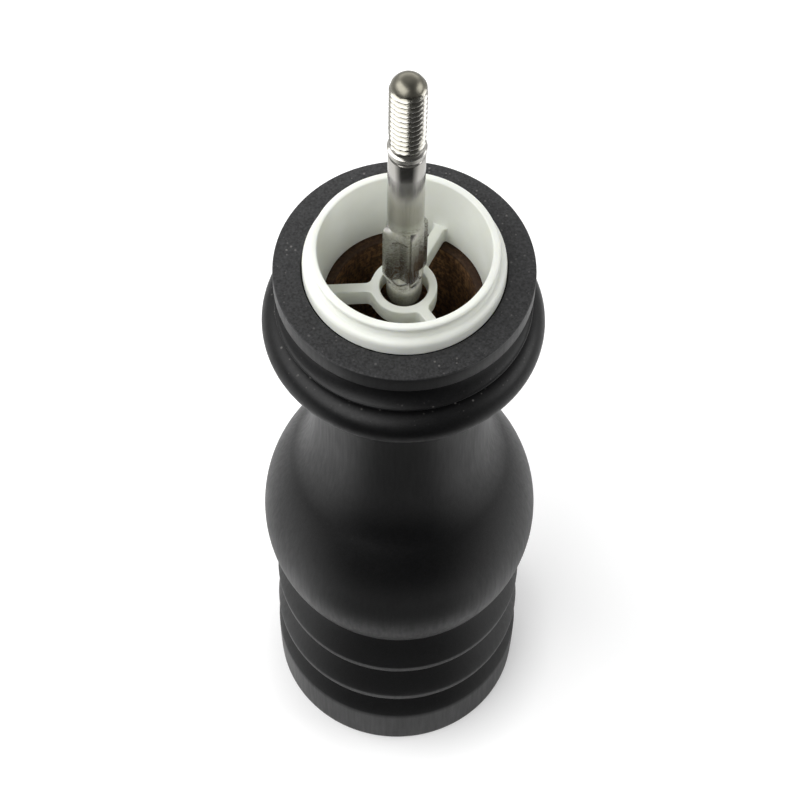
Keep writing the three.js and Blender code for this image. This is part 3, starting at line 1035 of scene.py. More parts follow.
@dataclass
class Palette:
    """Every material of the mill, made once.

    Attributes:
        lacquer: The body's black outside.
        raw_wood: The body's bare inside.
        white_nylon: The guide cup and the bush.
        grey_nylon: The grinder's housing.
        stainless: The drive shaft.
        hardened: The toothed ring and the toothed cone.
        spring: The coil spring and the open rings.
        zinc: The washers, the nut, the screws and the strap.
    """

    lacquer: bpy.types.Material = field(init=False)
    raw_wood: bpy.types.Material = field(init=False)
    white_nylon: bpy.types.Material = field(init=False)
    grey_nylon: bpy.types.Material = field(init=False)
    stainless: bpy.types.Material = field(init=False)
    hardened: bpy.types.Material = field(init=False)
    spring: bpy.types.Material = field(init=False)
    zinc: bpy.types.Material = field(init=False)

    def __post_init__(self) -> None:
        """Builds the materials."""
        self.lacquer = BlackLacquer("black_lacquer").make()
        self.raw_wood = RawWood("raw_brown_wood").make()
        self.white_nylon = Nylon("white_nylon").make()
        self.grey_nylon = Nylon(
            "grey_nylon",
            colour=(0.05, 0.051, 0.055, 1),
            shade=(0.035, 0.036, 0.04, 1),
            translucence=0.0,
            roughness=(0.4, 0.55),
        ).make()
        self.stainless = Steel("polished_stainless", marks=ShaftMarks()).make()
        self.hardened = Steel(
            "hardened_steel",
            colour=(0.24, 0.235, 0.23, 1),
            tarnish=(0.13, 0.12, 0.11, 1),
            roughness=(0.3, 0.48),
            lines=Lines.BLASTED,
        ).make()
        self.spring = Steel(
            "spring_steel",
            colour=(0.46, 0.455, 0.44, 1),
            tarnish=(0.33, 0.31, 0.28, 1),
            roughness=(0.22, 0.36),
            lines=Lines.BLASTED,
        ).make()
        self.zinc = Steel(
            "zinc_plate",
            colour=(0.58, 0.59, 0.61, 1),
            tarnish=(0.5, 0.5, 0.47, 1),
            roughness=(0.24, 0.38),
            lines=Lines.TURNED,
        ).make()


# ------------------------------------------------------------------ the turned body


@dataclass
class TurnedBody:
    """The wooden body, in millimetres: its outside outline, and the mouth, chamber and grinder seat inside.

    Attributes:
        height: From the foot to the seat for the head.
        bulb: Radius, height of the middle, and half height of the bulb.
        bulb_low: Where the bulb ends below, in degrees below its middle.
        bulb_root: Radius of the hollow behind the bulb's lower edge.
        band: Radius at the foot, radius at the top, and height of the foot band.
        rings: For each ring, the height of its undercut, the hollow's radius there, and its own radius.
        bead: Radius of the bead's centre circle, its height, and the bead's own radius.
        neck: Radius of the neck at its thinnest, and the height where that is.
        ridge: Radius and height of the ridge over the groove above the bead.
        disc: Radius of the top disc, and the height of its underside.
        bore: Radius of the pepper chamber.
        mouth: Radius of the mouth that holds the cup.
        rebate: Radius and depth of the shallow step at the mouth's edge.
        ledge: How far the ledge between mouth and chamber lies below the top.
        seat: Radius and top of the hollow that holds the grinder.
        recess: Radius and top of the wider hollow at the foot.
        lip_curl: Radius of a lip's curl, the angle that it turns in by, and the radius of its edge.
        lip_rise: How far above a lip's underside the wall leaves its crest.
        sides: Faces round the body.
    """

    height: float = heights("body_shell")[1]
    bulb: tuple[float, float, float] = (reach("body_shell"), 63.8, 32.8)
    bulb_low: float = 33.5
    bulb_root: float = 23.4
    band: tuple[float, float, float] = (26.9, 27.1, 13.0)
    rings: tuple[tuple[float, float, float], ...] = ((18.8, 24.1, 26.9), (32.8, 23.8, 26.6))
    bead: tuple[float, float, float] = (22.6, 135.75, 3.95)
    neck: tuple[float, float] = (17.2, 109.0)
    ridge: tuple[float, float] = (24.0, 141.7)
    disc: tuple[float, float] = (24.0, 148.3)
    bore: float = 13.5
    mouth: float = 16.7
    rebate: tuple[float, float] = (18.9, 0.6)
    ledge: float = 10.7
    seat: tuple[float, float] = (16.6, 36.5)
    recess: tuple[float, float] = (21.2, 4.4)
    lip_curl: tuple[float, float, float] = (7.0, 36.0, 0.35)
    lip_rise: float = 4.4
    sides: int = 224

    def bell(self, crest: float, top: float, root: float, under: float) -> list[Outline]:
        """The wall of a stepped piece: a curve that leaves a crest, narrows, and runs up behind a lip.

        Args:
            crest: The crest's radius.
            top: The height at which the wall leaves the crest.
            root: The radius of the hollow behind the next lip.
            under: The height of that lip's underside.

        Returns:
            The wall, and the small cove at its top.
        """
        soft = 0.3
        width, rise = crest - root, under - soft - top
        leaving = (crest - 0.22 * width, top + 0.33 * rise)
        arriving = (root + 0.26 * width, under - soft - 0.3 * rise)
        wall = bend([(crest, top), leaving, arriving, (root, under - soft)], 18)
        return [wall, arc((root + soft, under - soft), (soft, soft), 180, 90, 4)]

    def lip(self, radius: float, under: float) -> list[Outline]:
        """The lower edge of a ring, which curls in under its crest to a soft corner.

        Args:
            radius: The crest's radius.
            under: The height of the lip's underside.

        Returns:
            The soft corner, and the curl up to the crest.
        """
        curl, turn_in, edge = self.lip_curl
        centre = under + curl * math.sin(math.radians(turn_in)) + 0.15
        start = radius - curl * (1 - math.cos(math.radians(turn_in)))
        corner = arc((start - edge, under + edge), (edge, edge), -90, -turn_in, 4)
        return [corner, arc((radius - curl, centre), (curl, curl), -turn_in, 0, 14)]

    def base(self) -> Outline:
        """The foot band and the two rings, each a bell whose lip hangs over the hollow below it.

        Returns:
            The points.
        """
        foot, crest, top = self.band
        edge = 0.7
        top -= 0.6
        parts = [
            arc((foot - edge, edge), (edge, edge), -90, 0, 6),
            bend([(foot, edge), (crest - 0.05, 4.0), (crest, 8.0), (crest, top)], 10),
        ]
        for under, root, radius in self.rings:
            parts += self.bell(crest, top, root, under)
            parts += self.lip(radius, under)
            crest, top = radius, under + self.lip_rise
        low = self.bulb[1] - self.bulb[2] * math.sin(math.radians(self.bulb_low))
        return np.concatenate(parts + self.bell(crest, top, self.bulb_root, low))

    def outside(self) -> Outline:
        """The whole outside, from the foot up to the edge of the seat for the head.

        Returns:
            The points.
        """
        radius, middle, half = self.bulb
        low, high = -self.bulb_low, 38.0
        end = arc((0, middle), (radius, half), high, high, 1)[0]
        bead_radius, bead_height, bead = self.bead
        root = bead_radius - 2.2
        neck, neck_height = self.neck
        ridge, ridge_height = self.ridge
        over = (ridge - 0.3, ridge_height + 0.3)
        disc, under = self.disc
        return np.concatenate(
            [
                self.base(),
                arc((0, middle), (radius, half), low, high, 72),
                bend([end, (end[0] - 3.4, end[1] + 4.3), (neck, neck_height - 13), self.neck], 18),
                bend([self.neck, (neck, 121), (18.4, 127.6), (root, bead_height - bead - 1.2)], 16),
                arc((root, bead_height - bead - 0.6), (0.5, 0.6), -60, 60, 4),
                arc((bead_radius, bead_height), (bead, bead), -96, 88, 40),
                arc((ridge - 1.45, ridge_height - 1.75), (0.2, 0.25), 200, 330, 5),
                arc((ridge - 0.28, ridge_height), (0.28, 0.28), -48, 75, 7),
                bend([over, (ridge - 1.5, 143), (21.5, 144.6), (21.45, 147.7)], 14),
                arc((21.9, 147.9), (0.45, 0.4), 180, 90, 5),
                arc((disc - 0.3, under + 0.3), (0.3, 0.3), -90, 0, 5),
                arc((disc - 0.22, self.height - 0.22), (0.22, 0.22), 0, 90, 5),
            ]
        )

    def inside(self) -> Outline:
        """The hollows, from the mouth down to the foot: rebate, mouth, chamber and grinder seat.

        Returns:
            The points.
        """
        rebate, depth = self.rebate
        recess, recess_top = self.recess
        seat, seat_top = self.seat
        ledge = self.height - self.ledge
        sill = self.height - depth
        soft = 0.15
        return np.concatenate(
            [
                [(rebate + soft, self.height), (rebate, self.height - soft), (rebate, sill)],
                arc((self.mouth + 0.2, sill - 0.2), (0.2, 0.2), 90, 180, 3),
                [(self.mouth, ledge + 0.1), (self.mouth - 0.1, ledge)],
                arc((self.bore + 0.35, ledge - 0.35), (0.35, 0.35), 90, 180, 5),
                [(self.bore, 120), (self.bore, 90), (self.bore, 60), (self.bore, seat_top + 2)],
                [(seat, seat_top), (seat, recess_top), (recess, recess_top)],
                [(recess, soft), (recess + soft, 0)],
            ]
        )

    def build(self, palette: Palette) -> None:
        """Makes the body as one closed skin, lacquered outside and raw inside.

        The rebate's rows stay lacquered, and so do the rows of the foot's edge.

        Args:
            palette: The mill's materials.
        """
        outside, inside = self.outside(), self.inside()
        outline = without_repeats(np.concatenate([outside, inside]))
        rebate_rows, foot_rows = 5, 2
        raw = len(without_repeats(outside)) + rebate_rows
        slots = (np.arange(len(outline)) >= raw).astype(int)
        slots[-foot_rows:] = 0
        shell = make_object("turned_body", revolve(outline, self.sides, slots=slots))
        dressing = Dressing(Body.MILL, "black_lacquered_wood", ("body_shell",), 40.0)
        dressing.apply(shell, palette.lacquer, palette.raw_wood)


# ------------------------------------------------------------------ the guide cup


@dataclass
class GuideCup:
    """The nylon cup in the mouth, in millimetres: flange, lipped collar, tapering wall, hub on spokes.

    Attributes:
        foot: Height of its lower end.
        rim: Height of its rim.
        flange: Radius of the flange on the seat.
        flange_low: Height of the flange's underside.
        flange_high: Height of its top.
        neck: Radius of the collar's waist.
        lip: Radius of the collar's lip.
        rim_bore: Radius of the bore at the rim.
        foot_bore: Radius of the bore at the lower end.
        skirt: Radius of the wall in the mouth.
        hub: Bore, radius and height of the hub.
        spoke_half: Half a spoke's width.
        spoke_edge: Rounding of its upper edges.
        spoke_fillets: How far it spreads where it meets the hub, and where it meets the wall.
        spoke_angles: The directions of the spokes.
        sides: Faces round the wall.
    """

    foot: float = heights("guide_cup")[0]
    rim: float = heights("guide_cup")[1]
    flange: float = reach("guide_cup")
    flange_low: float = TurnedBody.height - 0.45
    flange_high: float = TurnedBody.height + 2.9
    neck: float = 16.95
    lip: float = 17.35
    rim_bore: float = 15.85
    foot_bore: float = 14.9
    skirt: float = 16.4
    hub: tuple[float, float, float] = (4.5, 6.1, 4.1)
    spoke_half: float = 1.0
    spoke_edge: float = 0.28
    spoke_fillets: tuple[float, float] = (1.3, 0.8)
    spoke_angles: tuple[float, ...] = (64.5, 184.5, 304.5)
    sides: int = 192

    def wall(self) -> Skin:
        """The cup's wall, turned from one closed outline.

        Returns:
            The grid.
        """
        high = self.flange_high
        corners = [
            (self.foot_bore, self.foot, 0.3),
            (self.skirt, self.foot, 0.4),
            (self.skirt, self.flange_low, 0.1),
            (self.flange, self.flange_low, 0.25),
            (self.flange, high, 1.3),
            (self.neck + 0.3, high + 0.15, 0.2),
            (self.neck, high + 0.75, 0.5),
            (self.neck, high + 1.6, 0.4),
            (self.lip, self.rim - 0.6, 0.3),
            (self.lip - 0.25, self.rim, 0.35),
            (self.rim_bore, self.rim, 0.4),
        ]
        return revolve(without_repeats(rounded(corners, 6)), self.sides)

    def spoke(self) -> Skin:
        """One spoke along +X, a bar whose half width grows as a circle's arc towards the hub and the wall.

        The section is a rectangle with rounded upper edges. It is carried from inside the hub's wall to
        inside the cup's wall.

        Returns:
            The grid.
        """
        _, hub_outer, height = self.hub
        buried = 0.8
        from_hub = np.linspace(hub_outer - buried, hub_outer + 1.6, 14)
        to_wall = np.linspace(self.foot_bore - 2.0, self.foot_bore + buried, 16)
        x = np.concatenate([from_hub, to_wall])
        at_hub, at_wall = self.spoke_fillets

        def flare(distance: np.ndarray, fillet: float) -> np.ndarray:
            """How much a fillet of a radius adds at a distance from the face that it meets."""
            left = np.clip(fillet - distance, 0, fillet)
            return fillet - np.sqrt(np.maximum(fillet**2 - left**2, 0))

        spread = flare(x - hub_outer + 0.3, at_hub) + flare(self.foot_bore + 0.15 - x, at_wall)
        half = self.spoke_half + spread
        shy = 0.02
        top, low = self.foot + height - shy, self.foot + shy
        edge, count = self.spoke_edge, 5
        corner = arc((0, top - edge), (edge, edge), 0, 90, count)
        offsets = np.concatenate([corner, corner[::-1] * [-1, 1]])
        signs = np.repeat([1.0, -1.0], count)
        inset = -edge * signs
        side = offsets[None, :, 0] + inset + half[:, None] * signs
        upper = np.broadcast_to(offsets[:, 1], side.shape)
        lower_side = np.stack([-half, half], 1)
        lower = np.full(lower_side.shape, low)
        section = np.stack([np.concatenate([side, lower_side], 1), np.concatenate([upper, lower], 1)], -1)
        path = np.stack([x, np.zeros_like(x), np.zeros_like(x)], -1)
        along_y = np.broadcast_to([0.0, 1.0, 0.0], path.shape)
        return sweep(path, along_y, level_path(path), section)

    def build(self, palette: Palette) -> None:
        """Joins the wall, hub and spokes into one moulding.

        Args:
            palette: The mill's materials.
        """
        inner, outer, height = self.hub
        cup = make_object("guide_cup_moulding", self.wall())
        hub_section = ring_section(inner, outer, self.foot, self.foot + height, 0.35)
        hub = make_object("hub", revolve(hub_section, self.sides // 2))
        spokes = [make_object("spoke", turned_copy(self.spoke(), angle)) for angle in self.spoke_angles]
        combine(cup, [hub, *spokes], Cut.JOIN)
        Dressing(Body.MILL, "white_nylon", ("guide_cup",), 35.0).apply(cup, palette.white_nylon)


# ------------------------------------------------------------------ the drive shaft


@dataclass
class DriveShaft:
    """The steel shaft, in millimetres, as a radius for each height and angle.

    Attributes:
        tail: Height of its lower end.
        tip: Height of its upper end.
        shank: Radius of the plain rod.
        thread: Crest radius, root radius, pitch, and the heights between which it runs.
        collar: Its radius and the heights between which it runs.
        wings: Crest radius, groove bottom radius, lower and upper end, and the angle of the first.
        groove: Radius of the groove under the collar, and the height where it starts.
        shoulder: Radius where a wing meets its groove, and the angles from the crest to there and to the
            groove's bottom.
        wing_count: How many wings there are.
        square: Half width of the square that drives the cone, and the heights between which it runs.
        tail_radius: Radius of the tail that the lock nut is on.
        clip_groove: Radius of the clip's groove, and the heights between which it runs.
        dome: Height where the tip starts to round off, and the radius of its flat end.
        crowding: How much closer together the columns stand at the wings' crests, as a share of a sector.
        sides: Faces round the shaft.
    """

    tail: float = heights("drive_shaft")[0]
    tip: float = heights("drive_shaft")[1]
    shank: float = 3.3
    thread: tuple[float, float, float, float, float] = (3.25, 2.68, 1.27, 189.1, 203.9)
    collar: tuple[float, float, float] = (3.45, 187.6, 189.0)
    groove: tuple[float, float] = (3.02, 187.0)
    wings: tuple[float, float, float, float, float] = (4.25, 2.6, 150.2, 166.9, 17.0)
    shoulder: tuple[float, float, float] = (3.45, 34.0, 54.0)
    wing_count: int = 4
    square: tuple[float, float, float] = (2.2, 6.2, 22.0)
    tail_radius: float = 1.95
    clip_groove: tuple[float, float, float] = (2.5, 37.62, 38.48)
    dome: tuple[float, float] = (203.2, 0.6)
    crowding: float = 0.11
    sides: int = 180

    def plain(self, z: np.ndarray) -> np.ndarray:
        """The rod's radius with no wings or thread: shank, clip groove, collar and the groove under it.

        Args:
            z: The heights.

        Returns:
            The radius at each height.
        """
        radius, low, high = self.collar
        groove, groove_low = self.groove
        ledge = 0.02
        clip, clip_low, clip_high = self.clip_groove
        knots = [
            (clip_low - ledge, self.shank),
            (clip_low, clip),
            (clip_high, clip),
            (clip_high + ledge, self.shank),
            (groove_low - 0.35, self.shank),
            (groove_low, groove),
            (low - 0.12, groove),
            (low + 0.22, radius),
            (high - 0.3, radius),
            (high + 0.1, self.thread[1]),
            (self.tip, self.thread[1]),
        ]
        place, size = zip(*knots)
        return np.interp(z, place, size)

    def within_dome(self, z: np.ndarray) -> np.ndarray:
        """The largest radius that the rounded tip allows: a flattened quarter ellipse, cut off flat.

        Args:
            z: The heights.

        Returns:
            The radius at each height.
        """
        start, flat = self.dome
        share = np.clip((z - start) / (self.tip - start), 0, 1)
        round_end = flat + (self.shank + 0.05 - flat) * np.sqrt(np.maximum(1 - share**1.8, 0))
        return np.where(share > 0, round_end, 2 * self.shank)

    def winged(self, z: np.ndarray, angle: np.ndarray) -> np.ndarray:
        """The radius among the wings.

        A sector runs from one crest to the next. Its first part is a lug, whose radius falls from the crest
        to the shoulder, and which fades into the rod at both ends. The die's V follows: straight lines in
        plan from the shoulder to the valley and on to the next crest, where one over the radius is the
        ends' values weighed by sines. The V grows outward at both ends, which leaves slanted facets where
        the die stopped.

        Args:
            z: The heights, as a column.
            angle: The angles in radians, as a row.

        Returns:
            The radius at each height and angle.
        """
        crest, valley, low, high, first = self.wings
        shoulder, shoulder_angle, valley_angle = self.shoulder
        sector = FULL_TURN / self.wing_count
        turn = (angle - math.radians(first)) % sector
        near, deep = math.radians(shoulder_angle), math.radians(valley_angle)
        fall = np.clip(turn / near, 0, 1)
        blunt = crest - 0.05
        lug = blunt - (blunt - shoulder) * (1.25 * fall - 0.25 * fall**3)
        fade = np.clip(np.minimum((z - low) / 2.6, (high - z) / 2.0), 0, 1)
        outer = self.shank + (lug - self.shank) * fade * (2 - fade)
        before = (np.sin(deep - turn) / shoulder + np.sin(turn - near) / valley) / math.sin(deep - near)
        after = (np.sin(sector - turn) / valley + np.sin(turn - deep) / crest) / math.sin(sector - deep)
        groove = 1 / np.maximum(np.where(turn < deep, before, after), 0.1)
        end = np.maximum(np.maximum(low + 1.9 - z, z - (high - 3.4)), 0)
        groove = groove * (1 + 0.3 * end)
        soft = 0.07
        mixed = np.minimum(outer, groove) - soft * np.exp(-np.abs(outer - groove) / soft)
        return np.where((z > low) & (z < high), mixed, self.shank)

    def build(self, palette: Palette) -> None:
        """Makes the shaft as one closed skin.

        Its columns stand closer together at the wings' crests: each is moved back by the sine of its place
        in its sector. The thread is a root radius plus the thread's height, both fading in at its start.

        Args:
            palette: The mill's materials.
        """
        major, minor, pitch, thread_low, thread_high = self.thread
        half, square_low, square_high = self.square
        _, clip_low, clip_high = self.clip_groove
        low, high, first = self.wings[2:]
        edges = [square_high, clip_low - 0.02, clip_low, clip_high, clip_high + 0.02]
        edges += [low - 1, low, high, high + 1]
        edges += [self.groove[1] - 0.4, thread_low - 0.2, thread_high, self.tip - 0.02]
        steps = [9, 1, 1, 1, 20, 0.5, 0.15, 0.5, 6, 0.12, pitch / 16, 0.15]
        z = even_heights(edges, steps)[:, None]
        turns = np.linspace(0, self.wing_count, self.sides, endpoint=False)
        turns = turns - self.crowding * np.sin(FULL_TURN * turns)
        angle = math.radians(first) + turns[None] * FULL_TURN / self.wing_count
        radius = np.where((z > low) & (z < high), self.winged(z, angle), self.plain(z))
        cut = thread_height((z - thread_low) / pitch - angle / FULL_TURN)
        run_in = np.clip((z - thread_low) / 0.9, 0, 1)
        root = minor + (major - 0.12 - minor) * (1 - run_in)
        worn = 0.1 * np.clip((thread_low + 4.4 - z) / 3, 0, 1)
        threaded = root + (major - worn - root) * cut
        radius = np.where(z > thread_low, threaded, radius)
        radius = np.minimum(radius, self.within_dome(z))
        sides = square(half, angle)
        tail = np.full_like(sides, self.tail_radius)
        chamfer = 0.4
        foot = np.concatenate([tail - chamfer, tail, tail, sides, sides])
        foot_z = np.array([self.tail, self.tail + chamfer, square_low, square_low, square_high])
        cap = np.array([[self.tip]])
        rows = np.concatenate([foot, radius, np.full((1, self.sides), 0.3)])
        skin = polar(rows, np.concatenate([foot_z[:, None], z, cap]), angle[0], looped=False)
        shaft = make_object("steel_shaft", skin)
        Dressing(Body.DRIVE, "stainless_steel", ("drive_shaft",), 30.0).apply(shaft, palette.stainless)


# ------------------------------------------------------------------ the grinder


@dataclass
class Grinder:
    """The grinder in the foot, in millimetres: housing, toothed ring and cone, bridge, washers and spring.

    Attributes:
        screw_ring: Distance of the housing's screws from the axis.
        screw_angles: Their directions.
        screw_head: Radius and height of their countersunk heads.
        screw_hole: Radius of their holes.
        strap_head: Radius and height of the strap screws' round heads.
        bridge_screw_ring: Distance of the strap's screws from the axis.
        rotor_teeth: Coarse teeth on the cone. Its fine teeth are three times as many.
        stator_teeth: Teeth in the fixed ring.
        tail_bore: Radius of the holes on the shaft's tail.
        stem_bore: Radius of the washers' holes on the shaft's stem.
        square_half: Half width of the square hole in the cone.
        washer_edge: Rounding of the edges of washers and open rings.
        wire: Radius of the spring's wire.
        coil: Radius of the circle that the wire's middle runs on.
        coil_turns: How many turns the spring has.
        travel: How far the shaft lifts. It is not used.
    """

    screw_ring: float = 18.6
    screw_angles: tuple[float, ...] = (90.0, 210.0, 330.0)
    screw_head: tuple[float, float] = (1.8, 1.2)
    screw_hole: float = 1.25
    strap_head: tuple[float, float] = (1.5, 0.95)
    bridge_screw_ring: float = 14.6
    rotor_teeth: int = 12
    stator_teeth: int = 24
    tail_bore: float = 2.1
    stem_bore: float = 3.5
    square_half: float = 2.375
    washer_edge: float = 0.12
    wire: float = 0.5
    coil: float = 4.9
    coil_turns: float = 5.0
    travel: float = frame["joints"][0]["range_m"][1] / MM

    def housing(self, palette: Palette) -> None:
        """The flanged housing, turned, with three countersunk holes.

        Args:
            palette: The mill's materials.
        """
        low, high = heights("grinder_housing")
        flange, wall, bore, throat = reach("grinder_housing"), 16.3, 14.9, 12.6
        flange_top, ledge = low + 2.0, 19.9
        slot, slot_low, slot_high = 15.55, 4.25, 5.25
        corners = [
            (bore, low, 0.3),
            (flange, low, 0.35),
            (flange, flange_top, 0.15),
            (wall, flange_top, 0.1),
            (wall, high, 0.2),
            (13.2, high, 0.15),
            (throat, high - 1.5, 0.3),
            (throat, ledge, 0.1),
            (bore, ledge, 0.1),
            (bore, slot_high, 0.05),
            (slot, slot_high, 0.05),
            (slot, slot_low, 0.05),
            (bore, slot_low, 0.05),
        ]
        body = make_object("grinder_cage", revolve(without_repeats(rounded(corners, 4)), 128))
        head, depth = self.screw_head
        wide = head + 0.15
        sink = [(wide, -1.0), (wide, 0.1), (self.screw_hole + 0.1, depth + 0.1), (self.screw_hole, 4.0)]
        hole = moved(revolve(np.array(sink), 32, looped=False), self.screw_ring, low)
        holes = [make_object("hole", turned_copy(hole, angle)) for angle in self.screw_angles]
        combine(body, holes, Cut.CARVE)
        Dressing(Body.MILL, "grey_nylon", ("grinder_housing",)).apply(body, palette.grey_nylon)

    def stator(self, palette: Palette) -> None:
        """The fixed ring: a plain outside, and a bore of leaning teeth that widens towards the foot.

        The bore's radius at a height falls evenly from foot to top. A saw-tooth of the angle, shifted with
        the height, adds the depth of the gullets, so every tip stays on the plain bore.

        Args:
            palette: The mill's materials.
        """
        low, high = heights("stator_ring")
        outer = reach("stator_ring")
        angle = np.linspace(0, FULL_TURN, 288, endpoint=False)[None]
        z = np.linspace(high - 0.2, low + 0.2, 16)[:, None]
        share = (z - low) / (high - low)
        lean, peak, gullet = -0.35, 0.8, 0.8
        depth = gullet * saw(angle / FULL_TURN * self.stator_teeth + lean * share, peak)
        wide_end, taper = 12.78, 1.6
        bore = wide_end - taper * share + depth
        side = outer * np.ones_like(angle)
        edge = 0.3
        rows = [bore[-1:] + 0.25, side - edge, side, side, side - edge, bore[:1] + 0.2, bore]
        places = [[low], [low], [low + edge], [high - edge], [high], [high], *z.tolist()]
        skin = polar(np.concatenate(rows), np.array(places), angle[0], looped=True)
        ring = make_object("toothed_ring", skin)
        Dressing(Body.MILL, "hardened_steel", ("stator_ring",), 25.0).apply(ring, palette.hardened)

    def rotor(self, palette: Palette) -> None:
        """The turning cone: a steep fine ring at the foot under a spiral-toothed cone, on a square hole.

        Args:
            palette: The mill's materials.
        """
        low, high = heights("rotor_cone")
        angle = np.linspace(0, FULL_TURN, 360, endpoint=False)[None]
        edge, girdle, widest, hole_edge = 0.15, 12.0, 12.1, 0.1
        fine_rows = np.linspace(low + edge, girdle, 14)
        coarse_rows = np.linspace(girdle + 0.3, high - edge, 26)
        z = np.concatenate([fine_rows, coarse_rows])[:, None]
        share = (z - low) / (high - low)
        envelope = np.interp(z, [low, girdle, high], [widest, 11.4, 6.55])
        turns = angle / FULL_TURN * self.rotor_teeth
        gullet = 1.45 * envelope / widest * saw(turns - 0.9 * share, 0.75)
        scratch = 0.5 * saw(turns * 3 - 0.5 * share, 0.8)
        in_fine = np.clip((girdle + 0.6 - z) / 1.2, 0, 1)
        radius = envelope - gullet * (1 - in_fine) - scratch * in_fine
        hole = square(self.square_half, angle)
        wider = hole + hole_edge
        rows = [radius[:1] - edge, radius, radius[-1:] - edge, wider, hole, hole, wider]
        places = [[low], *z.tolist(), [high], [high], [high - hole_edge], [low + hole_edge], [low]]
        skin = polar(np.concatenate(rows), np.array(places), angle[0], looped=True)
        cone = make_object("toothed_cone", skin)
        Dressing(Body.DRIVE, "hardened_steel", ("rotor_cone",), 25.0).apply(cone, palette.hardened)

    def washer(self, name: str, node: str, inner: float, body: Body, palette: Palette) -> None:
        """A zinc-plated washer that fills its CAD node's box.

        Args:
            name: The piece's name.
            node: The CAD node that it stands for.
            inner: Radius of its hole in millimetres.
            body: The body that it moves with.
            palette: The mill's materials.
        """
        section = ring_section(inner, reach(node), *heights(node), self.washer_edge)
        made = make_object(name, revolve(section, 72))
        Dressing(body, "zinc_plated_steel", (node,)).apply(made, palette.zinc)

    def open_ring(
        self, name: str, node: str, inner: float, gap_deg: float, body: Body, palette: Palette
    ) -> None:
        """A flat ring with a gap at +X: its section carried round an arc.

        Args:
            name: The piece's name.
            node: The CAD node that it stands for.
            inner: Its inner radius in millimetres.
            gap_deg: The gap's width as an angle.
            body: The body that it moves with.
            palette: The mill's materials.
        """
        section = ring_section(inner, reach(node), *heights(node), self.washer_edge)
        angle = np.radians(np.linspace(gap_deg / 2, 360 - gap_deg / 2, 90))
        out = np.stack([np.cos(angle), np.sin(angle), np.zeros_like(angle)], -1)
        made = make_object(name, sweep(np.zeros_like(out), out, level_path(out), section))
        Dressing(body, "spring_steel", (node,)).apply(made, palette.spring)

    def bush(self, palette: Palette) -> None:
        """The flanged bush in the bridge.

        Args:
            palette: The mill's materials.
        """
        low, high = heights("bridge_bush")
        bore, stem, flange = 3.45, 4.6, reach("bridge_bush")
        under = high - 1.0
        corners = [(bore, low, 0.15), (stem, low, 0.15), (stem, under, 0.08)]
        corners += [(flange, under, 0.1), (flange, high, 0.25), (bore, high, 0.15)]
        made = make_object("shaft_bush", revolve(without_repeats(rounded(corners)), 72))
        Dressing(Body.MILL, "white_nylon", ("bridge_bush",)).apply(made, palette.white_nylon)

    def spring(self, palette: Palette) -> None:
        """The spring: a round wire on a helix whose pitch closes up over its first and last turn.

        It climbs by a weighed sum of its length along the wire, a straight rise, and a smooth one.

        Args:
            palette: The mill's materials.
        """
        low, high = heights("grinder_spring")
        length = high - low
        wire, points, wire_sides = self.wire, 480, 14
        t = np.linspace(0, 1, points)
        rise = np.clip((t - 0.13) / 0.74, 0, 1)
        closed, smooth = 0.1, 0.35
        opened = rise * rise * (3 - 2 * rise) * smooth + rise * (1 - smooth)
        climb = closed * t + (1 - closed) * opened
        angle = FULL_TURN * self.coil_turns * t
        out = np.stack([np.cos(angle), np.sin(angle), np.zeros_like(angle)], -1)
        middle = low + wire + climb * (length - 2 * wire)
        path = out * self.coil + np.stack([0 * t, 0 * t, middle], -1)
        ring = np.linspace(0, FULL_TURN, wire_sides, endpoint=False)
        section = wire * np.stack([np.cos(ring), np.sin(ring)], -1)
        made = make_object("coil_spring", sweep(path, out, level_path(out), section))
        Dressing(Body.SPRING_SEAT, "spring_steel", ("grinder_spring",), 80.0).apply(made, palette.spring)
        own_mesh(made)

    def nut(self, palette: Palette) -> None:
        """The lock nut: a hexagon's radius at each angle, held inside a chamfer at both ends.

        Args:
            palette: The mill's materials.
        """
        low, high = heights("rotor_lock_nut")
        flats = reach("rotor_lock_nut") * math.cos(math.pi / 6)
        angle = np.linspace(0, FULL_TURN, 180, endpoint=False)[None]
        hexagon = flats / np.cos((angle + math.pi / 6) % (math.pi / 3) - math.pi / 6)
        z = np.array([0.0, 0.12, 0.25, 0.4])[:, None]
        chamfered = np.minimum(hexagon, flats - 0.15 + 1.7 * z)
        bore = self.tail_bore * np.ones_like(angle)
        edge = 0.25
        rows = [chamfered, chamfered[::-1], bore + edge, bore, bore, bore + edge]
        outside = [*(low + z).tolist(), *(high - z[::-1]).tolist()]
        places = [*outside, [high], [high - edge], [low + edge], [low]]
        skin = polar(np.concatenate(rows), np.array(places), angle[0], looped=True)
        made = make_object("lock_nut", skin)
        Dressing(Body.DRIVE, "zinc_plated_steel", ("rotor_lock_nut",), 20.0).apply(made, palette.zinc)

